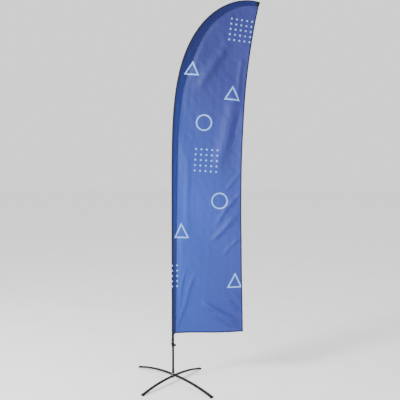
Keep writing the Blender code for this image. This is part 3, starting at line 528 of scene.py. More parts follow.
LINE_STEP = 0.001  # the pole's centre line is summed in steps this long


def heading(length):
    """How far the pole leans from straight up at a length along it."""
    return TIP_HEADING * np.maximum(0.0, (length - BEND_START) / (POLE_LENGTH - BEND_START)) ** BEND_POWER


run = np.arange(0.0, POLE_LENGTH + LINE_STEP / 2, LINE_STEP)
step_headings = heading(run[:-1] + LINE_STEP / 2)
line_x = np.concatenate([[0.0], np.cumsum(LINE_STEP * np.sin(step_headings))])
line_z = np.concatenate([[0.0], np.cumsum(LINE_STEP * np.cos(step_headings))])
line_turn = heading(run)


def across(length, out=0.0, side=0.0):
    """Points at lengths along the pole, out from its centre in the flag's plane, and aside in Y."""
    length, out, side = np.broadcast_arrays(length, out, side)
    turn = np.interp(length, run, line_turn)
    x = np.interp(length, run, line_x) + out * np.cos(turn) + axis_x
    z = np.interp(length, run, line_z) - out * np.sin(turn)
    return np.stack([x, side, z], axis=-1)


def stations(start, end, step=0.012):
    """Even lengths from a start to an end, about a step apart."""
    return np.linspace(start, end, max(2, round((end - start) / step) + 1))


def pole_rows(lengths, radii, sides=40):
    """Circles across the pole at lengths along it, each of its own radius."""
    around = circle(1.0, sides)
    radii = np.broadcast_to(radii, np.shape(lengths))[:, None]
    return across(np.asarray(lengths)[:, None], radii * around[None, :, 0], radii * around[None, :, 1])


def tube(name, start, end, radius):
    """A pole tube with rounded mouths."""
    lengths = stations(start + MOUTH_EDGE, end - MOUTH_EDGE)
    mouth = radius - MOUTH_ROUNDING
    outer = pole_rows([start, *lengths, end], [mouth, *[radius] * len(lengths), mouth])
    inner = pole_rows(lengths[::-1], radius - TUBE_WALL)
    return loft(name, np.concatenate([outer, inner]), closed=True)


# Black anodised aluminium: satin, with the faint lengthwise lines of drawn tube.
anodised, tree, shader, where = new_finish("black_anodised_aluminium", Metallic=0.85, Roughness=0.36)
drawn = add(tree, "ShaderNodeMapping", {"Vector": where, "Scale": (1.0, 1.0, 0.02)})
draw_lines = add(tree, "ShaderNodeTexNoise", {"Vector": drawn, "Scale": 900.0, "Detail": 3.0})
rubbed = add(tree, "ShaderNodeTexNoise", {"Vector": where, "Scale": 30.0, "Detail": 5.0})
vary(tree, shader, rubbed, "#0D0D0E", "#1C1C1F")
raise_surface(tree, shader, draw_lines, 0.00004)

# Pultruded fibreglass: a glossy black resin skin over straight fibres, which show as fine streaks.
fibreglass, tree, shader, where = new_finish(
    "pultruded_fibreglass", Roughness=0.25, IOR=1.54, Coat_Weight=0.4
)
pulled = add(tree, "ShaderNodeMapping", {"Vector": where, "Scale": (1.0, 1.0, 0.05)})
fibres = add(tree, "ShaderNodeTexNoise", {"Vector": pulled, "Scale": 700.0, "Detail": 4.0})
vary(tree, shader, fibres, "#0E0E10", "#202024")
raise_surface(tree, shader, fibres, 0.00005)

pole_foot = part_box("pole_tube_bottom")[0].z
first_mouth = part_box("pole_tube_bottom")[1].z
section_step = (ROD_END - pole_foot + 3 * JOINT_OVERLAP) / 4 - JOINT_OVERLAP
second_mouth = first_mouth + section_step
third_mouth = second_mouth + section_step
start = pole_foot
for name, node, mouth, radius, finish, slot in (
    ("aluminium_tube_bottom", "pole_tube_bottom", first_mouth, BOTTOM_RADIUS, anodised, "black_aluminium"),
    ("aluminium_tube_middle", "pole_tube_middle", second_mouth, MIDDLE_RADIUS, anodised, "black_aluminium"),
    ("fibreglass_tube", "pole_tube_upper", third_mouth, UPPER_RADIUS, fibreglass, "black_fibreglass"),
):
    fit(tube(name, start, mouth, radius), finish, "pole", slot, node)
    start = mouth - JOINT_OVERLAP


def rod_radius(length):
    """The tip rod's radius: straight in its socket, then tapered to its end."""
    return np.interp(length, [third_mouth, ROD_END], [ROD_RADIUS, ROD_END_RADIUS])


rod_stations = stations(start, ROD_END)
rod = loft("fibreglass_rod", pole_rows(rod_stations, rod_radius(rod_stations), 24), ends=True)
fit(rod, fibreglass, "pole", "black_fibreglass", "pole_tip_rod")

# ------------------------------
# Ferrules and tip cap. Short steel sleeves, rolled at both rims and powder coated, stop the tube mouths
# from splitting. A moulded cap on the rod's end keeps it from wearing through the cloth.
FERRULE_LENGTH = 0.030
FERRULE_WALL = 0.0008
RIM = 0.0003  # how far a rolled rim stands out, and its edge falls back
RIM_SHARES = np.array([0.0, 0.01, 0.04, 0.07, 0.10, 0.5, 0.90, 0.93, 0.96, 0.99, 1.0])
RIM_SWELL = RIM * np.array([-1, 0, 1, 1, 0, 0, 0, 1, 1, 0, -1])
CAP_LENGTH = 0.020
CAP_WALL = 0.0010
CAP_SIDES = 24
CAP_DOME = 0.003  # the length of the cap's rounded end

for name, node, start, radius in (
    ("rolled_ferrule_foot", "pole_foot_ferrule", pole_foot, BOTTOM_RADIUS),
    ("rolled_ferrule_low", "ferrule_low", first_mouth - FERRULE_LENGTH, BOTTOM_RADIUS),
    ("rolled_ferrule_middle", "ferrule_middle", second_mouth - FERRULE_LENGTH, MIDDLE_RADIUS),
    ("rolled_ferrule_high", "ferrule_high", third_mouth - FERRULE_LENGTH, UPPER_RADIUS),
):
    bore = radius + GAP
    lengths = start + FERRULE_LENGTH * RIM_SHARES
    outer = pole_rows(lengths, bore + FERRULE_WALL + RIM_SWELL)
    inner = pole_rows(lengths[::-1], bore)
    fit(loft(name, np.concatenate([outer, inner]), closed=True), powder_coat, "pole", "black_steel", node)

cap_start = ROD_END - CAP_LENGTH
cap_bore = float(rod_radius(cap_start)) + GAP
cap_end = ROD_END + GAP + CAP_WALL
dome = np.linspace(0.0, math.pi / 2, 7)[:-1]
cap_radius = cap_bore + CAP_WALL
cap_lengths = [cap_start, cap_start + 0.0005, *(cap_end - CAP_DOME + CAP_DOME * np.sin(dome))]
cap_radii = [cap_radius - RIM, cap_radius, *(cap_radius * np.cos(dome) ** 0.5)]
cap_rows = [
    pole_rows([ROD_END + GAP], 0.0004, CAP_SIDES),
    pole_rows([ROD_END + GAP, cap_start], cap_bore, CAP_SIDES),
    pole_rows(cap_lengths, np.array(cap_radii), CAP_SIDES),
]
tip_cap = loft("moulded_tip_cap", np.concatenate(cap_rows), ends=True)
fit(tip_cap, moulded, "pole", "black_plastic", "pole_tip_cap")

# ------------------------------
# Sleeve. A strip of the flag's knitted polyester folded round the pole, its two edges sewn to the panel.
# It is widest at the bend, and its colour gets painted shade on its leading side over the black pole
# and on its turned-in edges at the seam.
FLAG_BOTTOM = 0.449  # the seam's lower end
SLEEVE_DROP = 0.025  # the mouth's leading corner hangs this far below it
SLEEVE_WALL = 0.0008
SLEEVE_EASE = 0.0004
MOUTH_EASE = 0.0008
SEAM_HALF = 0.0009
SEAM_BAND = 0.010  # the sleeve's edges are turned in under it for this far
WIDTH_SHARES = (0.00, 0.17, 0.49, 0.62, 0.75, 0.87, 1.00)  # of the flag's leading edge
SLEEVE_WIDTHS = (0.038, 0.045, 0.056, 0.067, 0.088, 0.071, 0.044)  # flat widths there
PRINT_SHIFT = 0.003  # the print lies this far out from where it is laid down
POCKET_START = POLE_LENGTH - 0.026


def eased(t):
    """0 to 1 as t goes from 0 to 1, level at both ends."""
    t = np.clip(t, 0.0, 1.0)
    return t * t * (3 - 2 * t)


def sleeve_width(length):
    """The flat width of the sleeve at a length along the pole."""
    share = np.clip((length - FLAG_BOTTOM) / (POLE_LENGTH - FLAG_BOTTOM), 0.0, 1.0)
    place = np.clip(np.searchsorted(WIDTH_SHARES, share, side="right") - 1, 0, len(WIDTH_SHARES) - 2)
    low, high = np.take(WIDTH_SHARES, place), np.take(WIDTH_SHARES, place + 1)
    blend = eased((share - low) / (high - low))
    return np.take(SLEEVE_WIDTHS, place) * (1 - blend) + np.take(SLEEVE_WIDTHS, place + 1) * blend


def sleeve_bore(length):
    """The sleeve's inner radius where it lies on the pole, loosest at the mouth."""
    around = GAP + FERRULE_WALL + SLEEVE_EASE
    lengths = (FLAG_BOTTOM, first_mouth, second_mouth, third_mouth, cap_start, POLE_LENGTH)
    tip = cap_radius + SLEEVE_EASE
    radii = (BOTTOM_RADIUS + around + MOUTH_EASE, BOTTOM_RADIUS + around, MIDDLE_RADIUS + around)
    return np.interp(length, lengths, (*radii, UPPER_RADIUS + around, tip, tip))


def seam_out(length):
    """How far the sleeve's seam is from the pole's centre line."""
    return sleeve_width(length) - sleeve_bore(length) - SLEEVE_WALL


def waves(wave, seed, lean=0.0, spread=math.pi, count=14):
    """A smooth random field over the cloth, of about one wavelength, its crests leaning one way or any."""
    rng = np.random.default_rng(seed)
    turns = lean + rng.uniform(-spread / 2, spread / 2, count)
    pace = 2 * math.pi / (wave * rng.uniform(0.7, 1.5, count))
    start = rng.uniform(0, 2 * math.pi, count)

    def field(x, z):
        """The field's height at points out from the pole and up."""
        total = 0.0
        for turn, k, phase in zip(turns, pace, start):
            total = total + np.cos(k * (x * math.cos(turn) + z * math.sin(turn)) + phase)
        return total / math.sqrt(count)

    return field


side_creases = waves(0.070, 11, lean=0.2, spread=1.2)
bend_creases = waves(0.026, 12, lean=math.pi / 2, spread=0.7)
STRAIGHT_POINTS = 12
ARC_POINTS = 22
EDGE_TURN = 0.0028  # the cloth's edges are turned in this far beside the panel
EDGE_HALF = 0.0003
CALM_LENGTH = 0.03  # no creases at either end of the sleeve, and all of them beyond this
SIDE_CREASE = 0.0012
BEND_CREASE = 0.0010
SLANT_FADE = 0.15  # the length over which the mouth's slant dies away
BEND_FULL = POLE_LENGTH - 0.5  # the bend's creases are full from here


def sleeve_loop(length, swell=0.0):
    """The sleeve's section at a length: its out and side points, their distance from the seam, and the
    strength of its painted pole shade, 1 where the cloth lies on the pole. It starts and ends with the
    turned-in edges."""
    radius = float(sleeve_bore(length)) + SLEEVE_WALL / 2 + swell
    reach = float(seam_out(length))
    half = SEAM_HALF + swell
    touch = math.atan2(half, reach) + math.acos(radius / math.hypot(reach, half))
    share = np.linspace(0.0, 1.0, STRAIGHT_POINTS)[:-1]
    edge_n, edge_y = radius * math.cos(touch), radius * math.sin(touch)
    side_n = reach + (edge_n - reach) * share
    side_y = half + (edge_y - half) * share
    straight = math.hypot(reach - edge_n, edge_y - half)
    side_run = straight * share
    calm = float(np.clip(min(length - FLAG_BOTTOM, POCKET_START - length) / CALM_LENGTH, 0.0, 1.0))
    slack = calm * np.sin(math.pi * share) ** 0.7
    bend = float(np.interp(length, [BEND_START, BEND_FULL], [0.0, 1.0]))
    side_y = side_y + SIDE_CREASE * slack * side_creases(side_n, length)
    side_y = side_y + BEND_CREASE * bend * slack * (1 - share) * bend_creases(side_n, length)
    turns = np.linspace(touch, 2 * math.pi - touch, ARC_POINTS)
    arc = np.stack([radius * np.cos(turns), radius * np.sin(turns)], axis=-1)
    arc_run = straight + radius * (turns - touch)
    arc_run = np.minimum(arc_run, arc_run[::-1])
    side = np.stack([[reach - EDGE_TURN, *side_n], [EDGE_HALF, *side_y]], axis=-1)
    side_run = np.array([-EDGE_TURN, *side_run])
    share = np.array([0.0, *share])
    loop = np.concatenate([side, arc, (side * [1.0, -1.0])[::-1]])
    from_seam = np.concatenate([side_run, arc_run, side_run[::-1]])
    # The painted pole shade: full round the pole, fading out along the sides towards the seam.
    on_pole = np.concatenate([share**6, np.ones(ARC_POINTS), share[::-1] ** 6])
    return loop, from_seam, on_pole


def mouth_drop(length, out):
    """How far the slanted mouth pulls the sleeve's lower end down, at a distance out from the pole."""
    slant = SLEEVE_DROP / (seam_out(FLAG_BOTTOM) + sleeve_bore(FLAG_BOTTOM) + SLEEVE_WALL)
    fade = np.clip(1 - (length - FLAG_BOTTOM) / SLANT_FADE, 0.0, 1.0)
    return slant * (seam_out(FLAG_BOTTOM) - out) * fade


def sleeve_ring(length, loop):
    """The sleeve's section in its place, with the slant of its mouth."""
    ring = across(length, loop[..., 0], loop[..., 1])
    ring[..., 2] -= mouth_drop(length, loop[..., 0])
    return ring


def print_place(points):
    """Where points in the flag's plane lie on the printed cut, in metres."""
    return np.stack([points[..., 0] - axis_x - PRINT_SHIFT, points[..., 2]], axis=-1)


sleeve_rows = []
sleeve_cuts = []
seam_shade_marks = []
pole_shade_marks = []
sleeve_lengths = stations(FLAG_BOTTOM, POCKET_START, 0.0065)
for length in sleeve_lengths:
    loop, from_seam, on_pole = sleeve_loop(length)
    sleeve_rows.append(sleeve_ring(length, loop))
    sleeve_cuts.append(print_place(across(length, seam_out(length) - from_seam)))
    # Masks of painted shade: a band along the seam where the edges are turned in, and the cloth over the
    # pole.
    seam_shade_marks.append(np.clip((SEAM_BAND - from_seam) / 0.0015, 0.0, 1.0))
    pole_shade_marks.append(on_pole)
sleeve_shade_marks = {"seam_band": seam_shade_marks, "on_pole": pole_shade_marks}
cloth = {"round_rows": False, "sharp": 60.0}
sleeve = loft("knitted_sleeve", sleeve_rows, uv=np.array(sleeve_cuts), marks=sleeve_shade_marks, **cloth)

# ------------------------------
# Panel. One layer of knitted flag polyester, 110 g/m2, dye-printed so that the pattern shows on both
# faces. The pole's spring stretches it, and gravity leaves soft folds towards the trailing edge.
BOTTOM_CORNER = np.array([0.635, FLAG_BOTTOM + 0.019])
tip_point = across(POLE_LENGTH, seam_out(POLE_LENGTH))
TIP_CORNER = np.array([tip_point[0] - axis_x, tip_point[2]])
LOW_HANDLE = BOTTOM_CORNER + [-0.012, 0.900]
TIP_HANDLE = TIP_CORNER + [-0.203, -0.900]
TIP_TRIM = 0.0012
PANEL_ROWS = 430
PANEL_COLUMNS = 112
TUCK = 0.004  # the panel's edge lies this far inside the sleeve's seam
EDGE_INSET = 0.0015
TRAILING_PACE = 2.7  # metres of trailing edge for each unit of its parameter at the bottom corner


def trailing(share, inward=0.0):
    """Points on the trailing edge, from 0 at the bottom corner to 1 at the tip, moved in from the edge."""
    t = np.clip(np.asarray(share, float), 0.0, 1.0)[..., None]
    u = 1 - t
    point = BOTTOM_CORNER * u**3 + 3 * LOW_HANDLE * u**2 * t + 3 * TIP_HANDLE * u * t**2 + TIP_CORNER * t**3
    pace = (LOW_HANDLE - BOTTOM_CORNER) * u**2 + 2 * (TIP_HANDLE - LOW_HANDLE) * u * t
    pace = pace + (TIP_CORNER - TIP_HANDLE) * t**2
    pace = pace / np.linalg.norm(pace, axis=-1, keepdims=True)
    inward_way = np.stack([-pace[..., 1], pace[..., 0]], axis=-1)
    return point + inward_way * np.asarray(inward, float)[..., None]


# Folds of the cloth: each starts and ends at (out from the pole, height), and has a width and a depth,
# which is below zero where it stands towards the front.
FOLDS = (
    (0.22, 2.63, 0.50, 3.05, 0.040, -0.026),
    (0.57, 2.55, 0.62, 2.92, 0.020, -0.010),
    (0.40, 1.90, 0.57, 2.66, 0.055, -0.032),
    (0.49, 2.10, 0.60, 2.45, 0.022, 0.010),
    (0.63, 1.55, 0.64, 2.60, 0.055, -0.020),
    (0.34, 1.28, 0.59, 1.55, 0.024, -0.018),
    (0.38, 1.44, 0.57, 1.70, 0.020, -0.014),
    (0.47, 1.74, 0.60, 1.91, 0.016, -0.011),
    (0.50, 1.60, 0.61, 1.74, 0.012, -0.008),
    (0.45, 1.16, 0.60, 1.33, 0.016, -0.010),
    (0.125, 1.25, 0.135, 2.15, 0.028, -0.010),
    (0.030, 0.48, 0.20, 1.02, 0.018, -0.012),
    (0.028, 0.48, 0.12, 1.10, 0.010, -0.008),
    (0.022, 0.50, 0.065, 1.30, 0.009, 0.006),
    (0.26, 0.74, 0.60, 0.56, 0.022, -0.034),
    (0.38, 0.64, 0.61, 0.50, 0.016, -0.026),
    (0.34, 0.62, 0.58, 0.485, 0.012, 0.008),
    (0.48, 0.77, 0.61, 0.65, 0.012, -0.015),
    (0.53, 0.84, 0.612, 0.75, 0.010, -0.011),
    (0.55, 0.68, 0.61, 0.60, 0.009, 0.006),
)
long_waves = waves(0.42, 21, lean=0.5, spread=0.9, count=8)
fold_wander = waves(0.30, 25, spread=6.0, count=8)
hand_creases = waves(0.075, 22, lean=0.6, spread=1.5)
fine_creases = waves(0.030, 23, lean=0.7, spread=2.4)
seam_puckers = waves(0.034, 24, lean=math.pi / 2, spread=0.5)
LONG_WAVE = 0.007
BELLY = 0.016  # the whole panel bows this far to the front
BELLY_WIDTH = 0.66
WANDER = 0.004  # a fold leaves its straight line by this
FOLD_FADE = 0.35  # the share of a fold's length over which its ends die away
HAND_CREASE = 0.0011
FINE_CREASE = 0.0004
SEAM_HOLD = 0.045  # the seam holds the cloth flat out to this distance
PUCKER = 0.0009
PUCKER_START = 0.006
PUCKER_FADE = 0.030


def billow(x, z, from_seam):
    """How far the cloth stands out of the flag's plane at a point, with none at the sleeve's seam."""
    total = LONG_WAVE * long_waves(x, z) - BELLY * np.sin(math.pi * np.clip(x / BELLY_WIDTH, 0.0, 1.0))
    wander = WANDER * fold_wander(x, z)
    for x0, z0, x1, z1, width, depth in FOLDS:
        way = np.array([x1 - x0, z1 - z0])
        span = np.linalg.norm(way)
        way = way / span
        along = ((x - x0) * way[0] + (z - z0) * way[1]) / span
        aside = (x - x0) * way[1] - (z - z0) * way[0] + wander
        ends = eased(np.minimum(along, 1 - along) / FOLD_FADE + 0.25)
        total = total + depth * ends * np.exp(-((aside / width) ** 2))
    total = total + HAND_CREASE * hand_creases(x, z) + FINE_CREASE * fine_creases(x, z)
    near_seam = np.clip(from_seam / PUCKER_START, 0.0, 1.0) * np.exp(-from_seam / PUCKER_FADE)
    return total * eased(from_seam / SEAM_HOLD) + PUCKER * seam_puckers(x, z) * near_seam


seam_steps = np.arange(FLAG_BOTTOM, POLE_LENGTH, LINE_STEP)
seam_tree = KDTree(len(seam_steps))
for i, point in enumerate(across(seam_steps, seam_out(seam_steps))):
    seam_tree.insert((point[0] - axis_x, point[2], 0.0), i)
seam_tree.balance()


def seam_distance(flat):
    """How far flat (out, up) points are from the sleeve's seam."""
    flat = np.asarray(flat, float)
    found = [seam_tree.find((x, z, 0.0))[2] for x, z in flat.reshape(-1, 2)]
    return np.reshape(found, flat.shape[:-1])


def run_along(line):
    """The distance travelled at each point of a line."""
    return np.concatenate([[0.0], np.cumsum(np.linalg.norm(np.diff(line, axis=0), axis=1))])


seam_lengths = np.linspace(FLAG_BOTTOM + 0.0014, POLE_LENGTH - 0.0010, PANEL_ROWS)
seam_line = across(seam_lengths, seam_out(seam_lengths))
seam_run = run_along(seam_line)
lowest = EDGE_INSET / TRAILING_PACE
edge_shares = lowest + (1 - TIP_TRIM - lowest) * seam_run / seam_run[-1]
near = across(seam_lengths, seam_out(seam_lengths) - TUCK)[:, [0, 2]] - [axis_x, 0.0]
far = trailing(edge_shares, EDGE_INSET)
fraction = np.linspace(0.0, 1.0, PANEL_COLUMNS)[:, None]
flat_cloth = near[:, None] * (1 - fraction) + far[:, None] * fraction
from_seam = seam_distance(flat_cloth)
from_seam[:, fraction[:, 0] < 0.01] = 0.0
stand = billow(flat_cloth[..., 0], flat_cloth[..., 1], from_seam)
panel_rows = np.stack([flat_cloth[..., 0] + axis_x, stand, flat_cloth[..., 1]], axis=-1)
panel_cuts = flat_cloth - [PRINT_SHIFT, 0.0]
panel = loft("printed_panel", panel_rows, uv=panel_cuts, **cloth)

# The print: outlined triangles and circles and squares of dots, in metres out from the pole and up.
STROKE = 0.0125
DOT_RADIUS = 0.0082
TRIANGLES = (
    ((0.180, 2.886), (0.100, 2.769), (0.234, 2.753)),
    ((0.533, 2.670), (0.452, 2.547), (0.593, 2.530)),
    ((0.073, 1.459), (0.010, 1.319), (0.146, 1.319)),
    ((0.559, 1.005), (0.483, 0.867), (0.623, 0.870)),
)
CIRCLES = ((0.277, 2.345, 0.066), (0.416, 1.653, 0.0675))
DOT_SQUARES = (
    # the lowest left dot, the pitch, the turn in degrees, and the counts across and up
    (0.497, 3.069, 0.0449, -7.5, 5, 5),
    (0.194, 1.924, 0.0477, -4.0, 5, 5),
    (-0.012, 0.881, 0.0475, 0.0, 2, 5),
)


def largest(tree, values):
    """The largest of some values at each point."""
    found = values[0]
    for value in values[1:]:
        found = add(tree, "ShaderNodeMath", {0: found, 1: value}, operation="MAXIMUM")
    return found


def triangle_outline(tree, where, corners):
    """1 on the outline of a triangle, which lies inside its corners: its farthest side is within a stroke."""
    centre = sum((Vector(corner) for corner in corners), Vector((0.0, 0.0))) / 3
    away = []
    for a, b in zip(corners, corners[1:] + corners[:1]):
        side = Vector(b) - Vector(a)
        normal = Vector((side.y, -side.x)).normalized()
        if normal.dot(centre - Vector(a)) > 0:
            normal = -normal
        dot = add(tree, "ShaderNodeVectorMath", {0: where, 1: (*normal, 0.0)}, operation="DOT_PRODUCT")
        offset = {0: dot.outputs["Value"], 1: normal.dot(Vector(a))}
        away.append(add(tree, "ShaderNodeMath", offset, operation="SUBTRACT"))
    within = {0: largest(tree, away), 1: -STROKE / 2, 2: STROKE / 2}
    return add(tree, "ShaderNodeMath", within, operation="COMPARE")


def circle_outline(tree, where, x, z, radius):
    """1 on the outline of a circle."""
    away = add(tree, "ShaderNodeVectorMath", {0: where, 1: (x, z, 0.0)}, operation="DISTANCE")
    within = {0: away.outputs["Value"], 1: radius, 2: STROKE / 2}
    return add(tree, "ShaderNodeMath", within, operation="COMPARE")


def dots(tree, where, x, z, pitch, turn, count_across, count_up):
    """1 on the dots of a square lattice."""
    local = add(tree, "ShaderNodeMapping", {"Vector": where, "Location": (x, z, 0.0)}, vector_type="TEXTURE")
    local.inputs["Rotation"].default_value = (0.0, 0.0, math.radians(turn))
    local.inputs["Scale"].default_value = (pitch, pitch, 1.0)
    shifted = add(tree, "ShaderNodeVectorMath", {0: local, 1: (0.5, 0.5, 0.0)}, operation="ADD")
    cell = add(tree, "ShaderNodeVectorMath", {0: shifted}, operation="FLOOR")
    held = add(tree, "ShaderNodeVectorMath", {0: cell, 1: (0.0, 0.0, 0.0)}, operation="MAXIMUM")
    last = (count_across - 1.0, count_up - 1.0, 0.0)
    nearest = add(tree, "ShaderNodeVectorMath", {0: held, 1: last}, operation="MINIMUM")
    away = add(tree, "ShaderNodeVectorMath", {0: local, 1: nearest}, operation="DISTANCE")
    inside = {0: away.outputs["Value"], 1: DOT_RADIUS / pitch}
    return add(tree, "ShaderNodeMath", inside, operation="LESS_THAN")


def crossed_waves(tree, where, scale, ways):
    """Two sets of waves that cross, for a knit or a weave."""
    first, second = [
        add(tree, "ShaderNodeTexWave", {"Vector": where, "Scale": scale}, bands_direction=way) for way in ways
    ]
    return add(tree, "ShaderNodeMath", {0: first, 1: second}, operation="MULTIPLY")


def printed_polyester(name, field, see_through, doubled_painted_shade=False):
    """Flag polyester: a soft satin knit that lets some light through, dyed through with a pale print."""
    values = {"Roughness": 0.62, "Specular_IOR_Level": 0.35, "Sheen_Weight": 0.12, "Sheen_Roughness": 0.4}
    finish, tree, shader, cut = new_finish(name, by_cut=True, **values)
    shapes = [triangle_outline(tree, cut, corners) for corners in TRIANGLES]
    shapes += [circle_outline(tree, cut, *circle_place) for circle_place in CIRCLES]
    shapes += [dots(tree, cut, *square) for square in DOT_SQUARES]

    # The base colour is brightest at half height and greyer towards the tip, a little unevenly. Towards the
    # trailing edge it turns darker and slightly violet: painted shade, as the bowed panel turns from the
    # light.
    place = add(tree, "ShaderNodeSeparateXYZ", {"Vector": cut})
    cloudy = add(tree, "ShaderNodeTexNoise", {"Vector": cut, "Scale": 2.2, "Detail": 2.0})
    upwards = {"Value": place.outputs["Y"], "From Min": 0.42, "From Max": 3.42}
    share = add(tree, "ShaderNodeMapRange", upwards).outputs["Result"]
    clouded = add(tree, "ShaderNodeMath", {0: cloudy, 1: 0.10, 2: share}, operation="MULTIPLY_ADD")
    tone_ramp = add(tree, "ShaderNodeValToRGB", {"Fac": clouded})
    stops = tone_ramp.color_ramp.elements
    stops[0].position = 0.05
    stops[0].color = colour(field[0])
    stops[1].position = 1.0
    stops[1].color = colour(field[3])
    for position, shade in ((0.45, field[1]), (0.78, field[2])):
        stops.new(position).color = colour(shade)
    # Painted shade: the colour is mixed towards the fifth shade, darker and violet, out to the trailing edge.
    outwards = {"Value": place.outputs["X"], "From Min": 0.05, "From Max": 0.62, "To Max": 0.6}
    layers = [(add(tree, "ShaderNodeMapRange", outwards).outputs["Result"], field[4])]
    if doubled_painted_shade:
        # Painted shade: the turned-in edges at the seam and the black pole inside are painted as darker
        # bands, for the light they keep from coming through the cloth.
        for mark, strength in (("seam_band", 0.45), ("on_pole", 0.92)):
            band = add(tree, "ShaderNodeAttribute", attribute_name=mark)
            depth = add(tree, "ShaderNodeMath", {0: band.outputs["Fac"], 1: strength}, operation="MULTIPLY")
            layers.append((depth, "#04081C"))
    layers.append((largest(tree, shapes), "#8FBDFF"))
    base = tone_ramp.outputs["Color"]
    for amount, shade in layers:
        mixed = {"Factor": amount, "A": base, "B": colour(shade)}
        base = add(tree, "ShaderNodeMix", mixed, data_type="RGBA").outputs["Result"]
    tree.links.new(base, shader.inputs["Base Color"])

    # The knit: loops 0.6 mm apart, drawn at 1.5 mm so that they show close up.
    raise_surface(tree, shader, crossed_waves(tree, cut, 105.0, "XY"), 0.00008, 0.5)

    through = add(tree, "ShaderNodeBsdfTranslucent", {"Color": base})
    blended = add(tree, "ShaderNodeMixShader", {0: see_through, 1: shader, 2: through})
    tree.links.new(blended.outputs["Shader"], tree.nodes["Material Output"].inputs["Surface"])
    return finish


# The fifth shade of each set is the painted shade mixed in towards the trailing edge.
panel_shades = ("#304BA4", "#3554B4", "#2F3F88", "#29316A", "#3F4392")
# The sleeve's shades are the blue painted darker: painted shade of the doubled cloth round the black pole.
sleeve_shades_painted_darker = ("#152C78", "#173084", "#0E246C", "#0A124C", "#0E1F6C")
panel_polyester = printed_polyester("printed_flag_polyester", panel_shades, 0.22)
sleeve_polyester = printed_polyester("royal_blue_sleeve_polyester", sleeve_shades_painted_darker, 0.08, doubled_painted_shade=True)
fit(sleeve, sleeve_polyester, "pole", "sleeve_polyester", "flag_sleeve")
fit(panel, panel_polyester, "pole", "blue_polyester", "flag_panel")

# ------------------------------
# Hems. The panel's trailing and bottom edges are bound in a folded strip of navy polyester, which keeps
# the knit from running and puckers a little where the thread draws it in.
HEM_DEPTH = 0.011
HEM_WALL = 0.0006
HEM_HALF = 0.0013
HEM_MIDDLE = 0.006  # a row of points half way over the strip


def hem_section():
    """A strip folded round the panel's edge: the front face, the fold, the back face, and their insides."""
    fold = np.linspace(-math.pi / 2, math.pi / 2, 7)[1:-1]
    outside = [(HEM_DEPTH, -HEM_HALF), (HEM_MIDDLE, -HEM_HALF), (HEM_HALF, -HEM_HALF)]
    outside += [(HEM_HALF * (1 - math.cos(a)), HEM_HALF * math.sin(a)) for a in fold]
    outside += [(HEM_HALF, HEM_HALF), (HEM_MIDDLE, HEM_HALF), (HEM_DEPTH, HEM_HALF)]
    inner = HEM_HALF - HEM_WALL
    fold_in = HEM_WALL + 0.0005
    return outside + [(HEM_DEPTH, inner), (fold_in, inner), (fold_in, -inner), (HEM_DEPTH, -inner)]


def cloth_points(flat, side):
    """Points on the billowing cloth from flat (out, up) ones, moved aside from its middle."""
    stand = billow(flat[..., 0], flat[..., 1], seam_distance(flat)) + side
    return np.stack([flat[..., 0] + axis_x, stand, flat[..., 1]], axis=-1)


def bottom_edge(share, inward, side):
    """Points on the bottom hem's strip, from 0 at the sleeve to 1 at the trailing hem."""
    left = across(FLAG_BOTTOM + inward, seam_out(FLAG_BOTTOM + inward) + GAP)[..., [0, 2]] - [axis_x, 0.0]
    right = trailing(inward / TRAILING_PACE, HEM_DEPTH + GAP)
    return cloth_points(left * (1 - share) + right * share, side)


hem_points = np.array(hem_section())
trailing_rows = []
for share in [0.0, *np.linspace(lowest, 1 - TIP_TRIM, 620)]:
    edge = trailing(np.full(len(hem_points), share), hem_points[:, 0])
    trailing_rows.append(cloth_points(edge, hem_points[:, 1]))
trailing_hem = loft("bound_trailing_hem", trailing_rows, ends=True)
bottom_rows = []
for share in np.linspace(0.0, 1.0, 150):
    bottom_rows.append([bottom_edge(share, inward, side) for inward, side in hem_points])
bottom_hem = loft("bound_bottom_hem", bottom_rows, ends=True)


def woven_finish(name, dark, light, spacing, height, roughness, sheen):
    """Woven polyester binding or webbing: ribs across the piece, a little sheen and uneven dye."""
    finish, tree, shader, where = new_finish(
        name, Roughness=roughness, Specular_IOR_Level=0.3, Sheen_Weight=sheen, Sheen_Roughness=0.4
    )
    cloudy = add(tree, "ShaderNodeTexNoise", {"Vector": where, "Scale": 25.0, "Detail": 4.0})
    vary(tree, shader, cloudy, dark, light)
    waves_per_metre = 1 / spacing / 20 * math.tau  # a wave texture's scale of 1 is 20 / tau bands a metre
    weave = crossed_waves(tree, where, waves_per_metre, "ZX")
    raise_surface(tree, shader, weave, height)
    return finish


# The binding's weave is 0.5 mm a rib, drawn at 1.5 mm so that it shows.
navy_binding = woven_finish("navy_polyester_binding", "#080E2E", "#0D1640", 0.0015, 0.00010, 0.6, 0.06)
fit(trailing_hem, navy_binding, "pole", "navy_binding", "flag_trailing_hem")
fit(bottom_hem, navy_binding, "pole", "navy_binding", "flag_bottom_hem")

# ------------------------------
# Mouth binding and tip pocket. The sleeve's slanted mouth is bound like the hems. Its tip is a pocket of
# doubled black webbing that takes the rod's whole push.
BINDING_DEPTH = 0.012
BINDING_SWELL = 0.0006


def sleeve_piece(name, lengths, swells, scales, **options):
    """A closed skin round the sleeve's own section at each length, drawn in to its middle by a scale."""
    rows = []
    for length, swell, scale in zip(lengths, swells, scales):
        loop = sleeve_loop(length, swell)[0]
        centre = loop.mean(axis=0)
        rows.append(sleeve_ring(length, centre + (loop - centre) * scale))
    return loft(name, rows, **options)


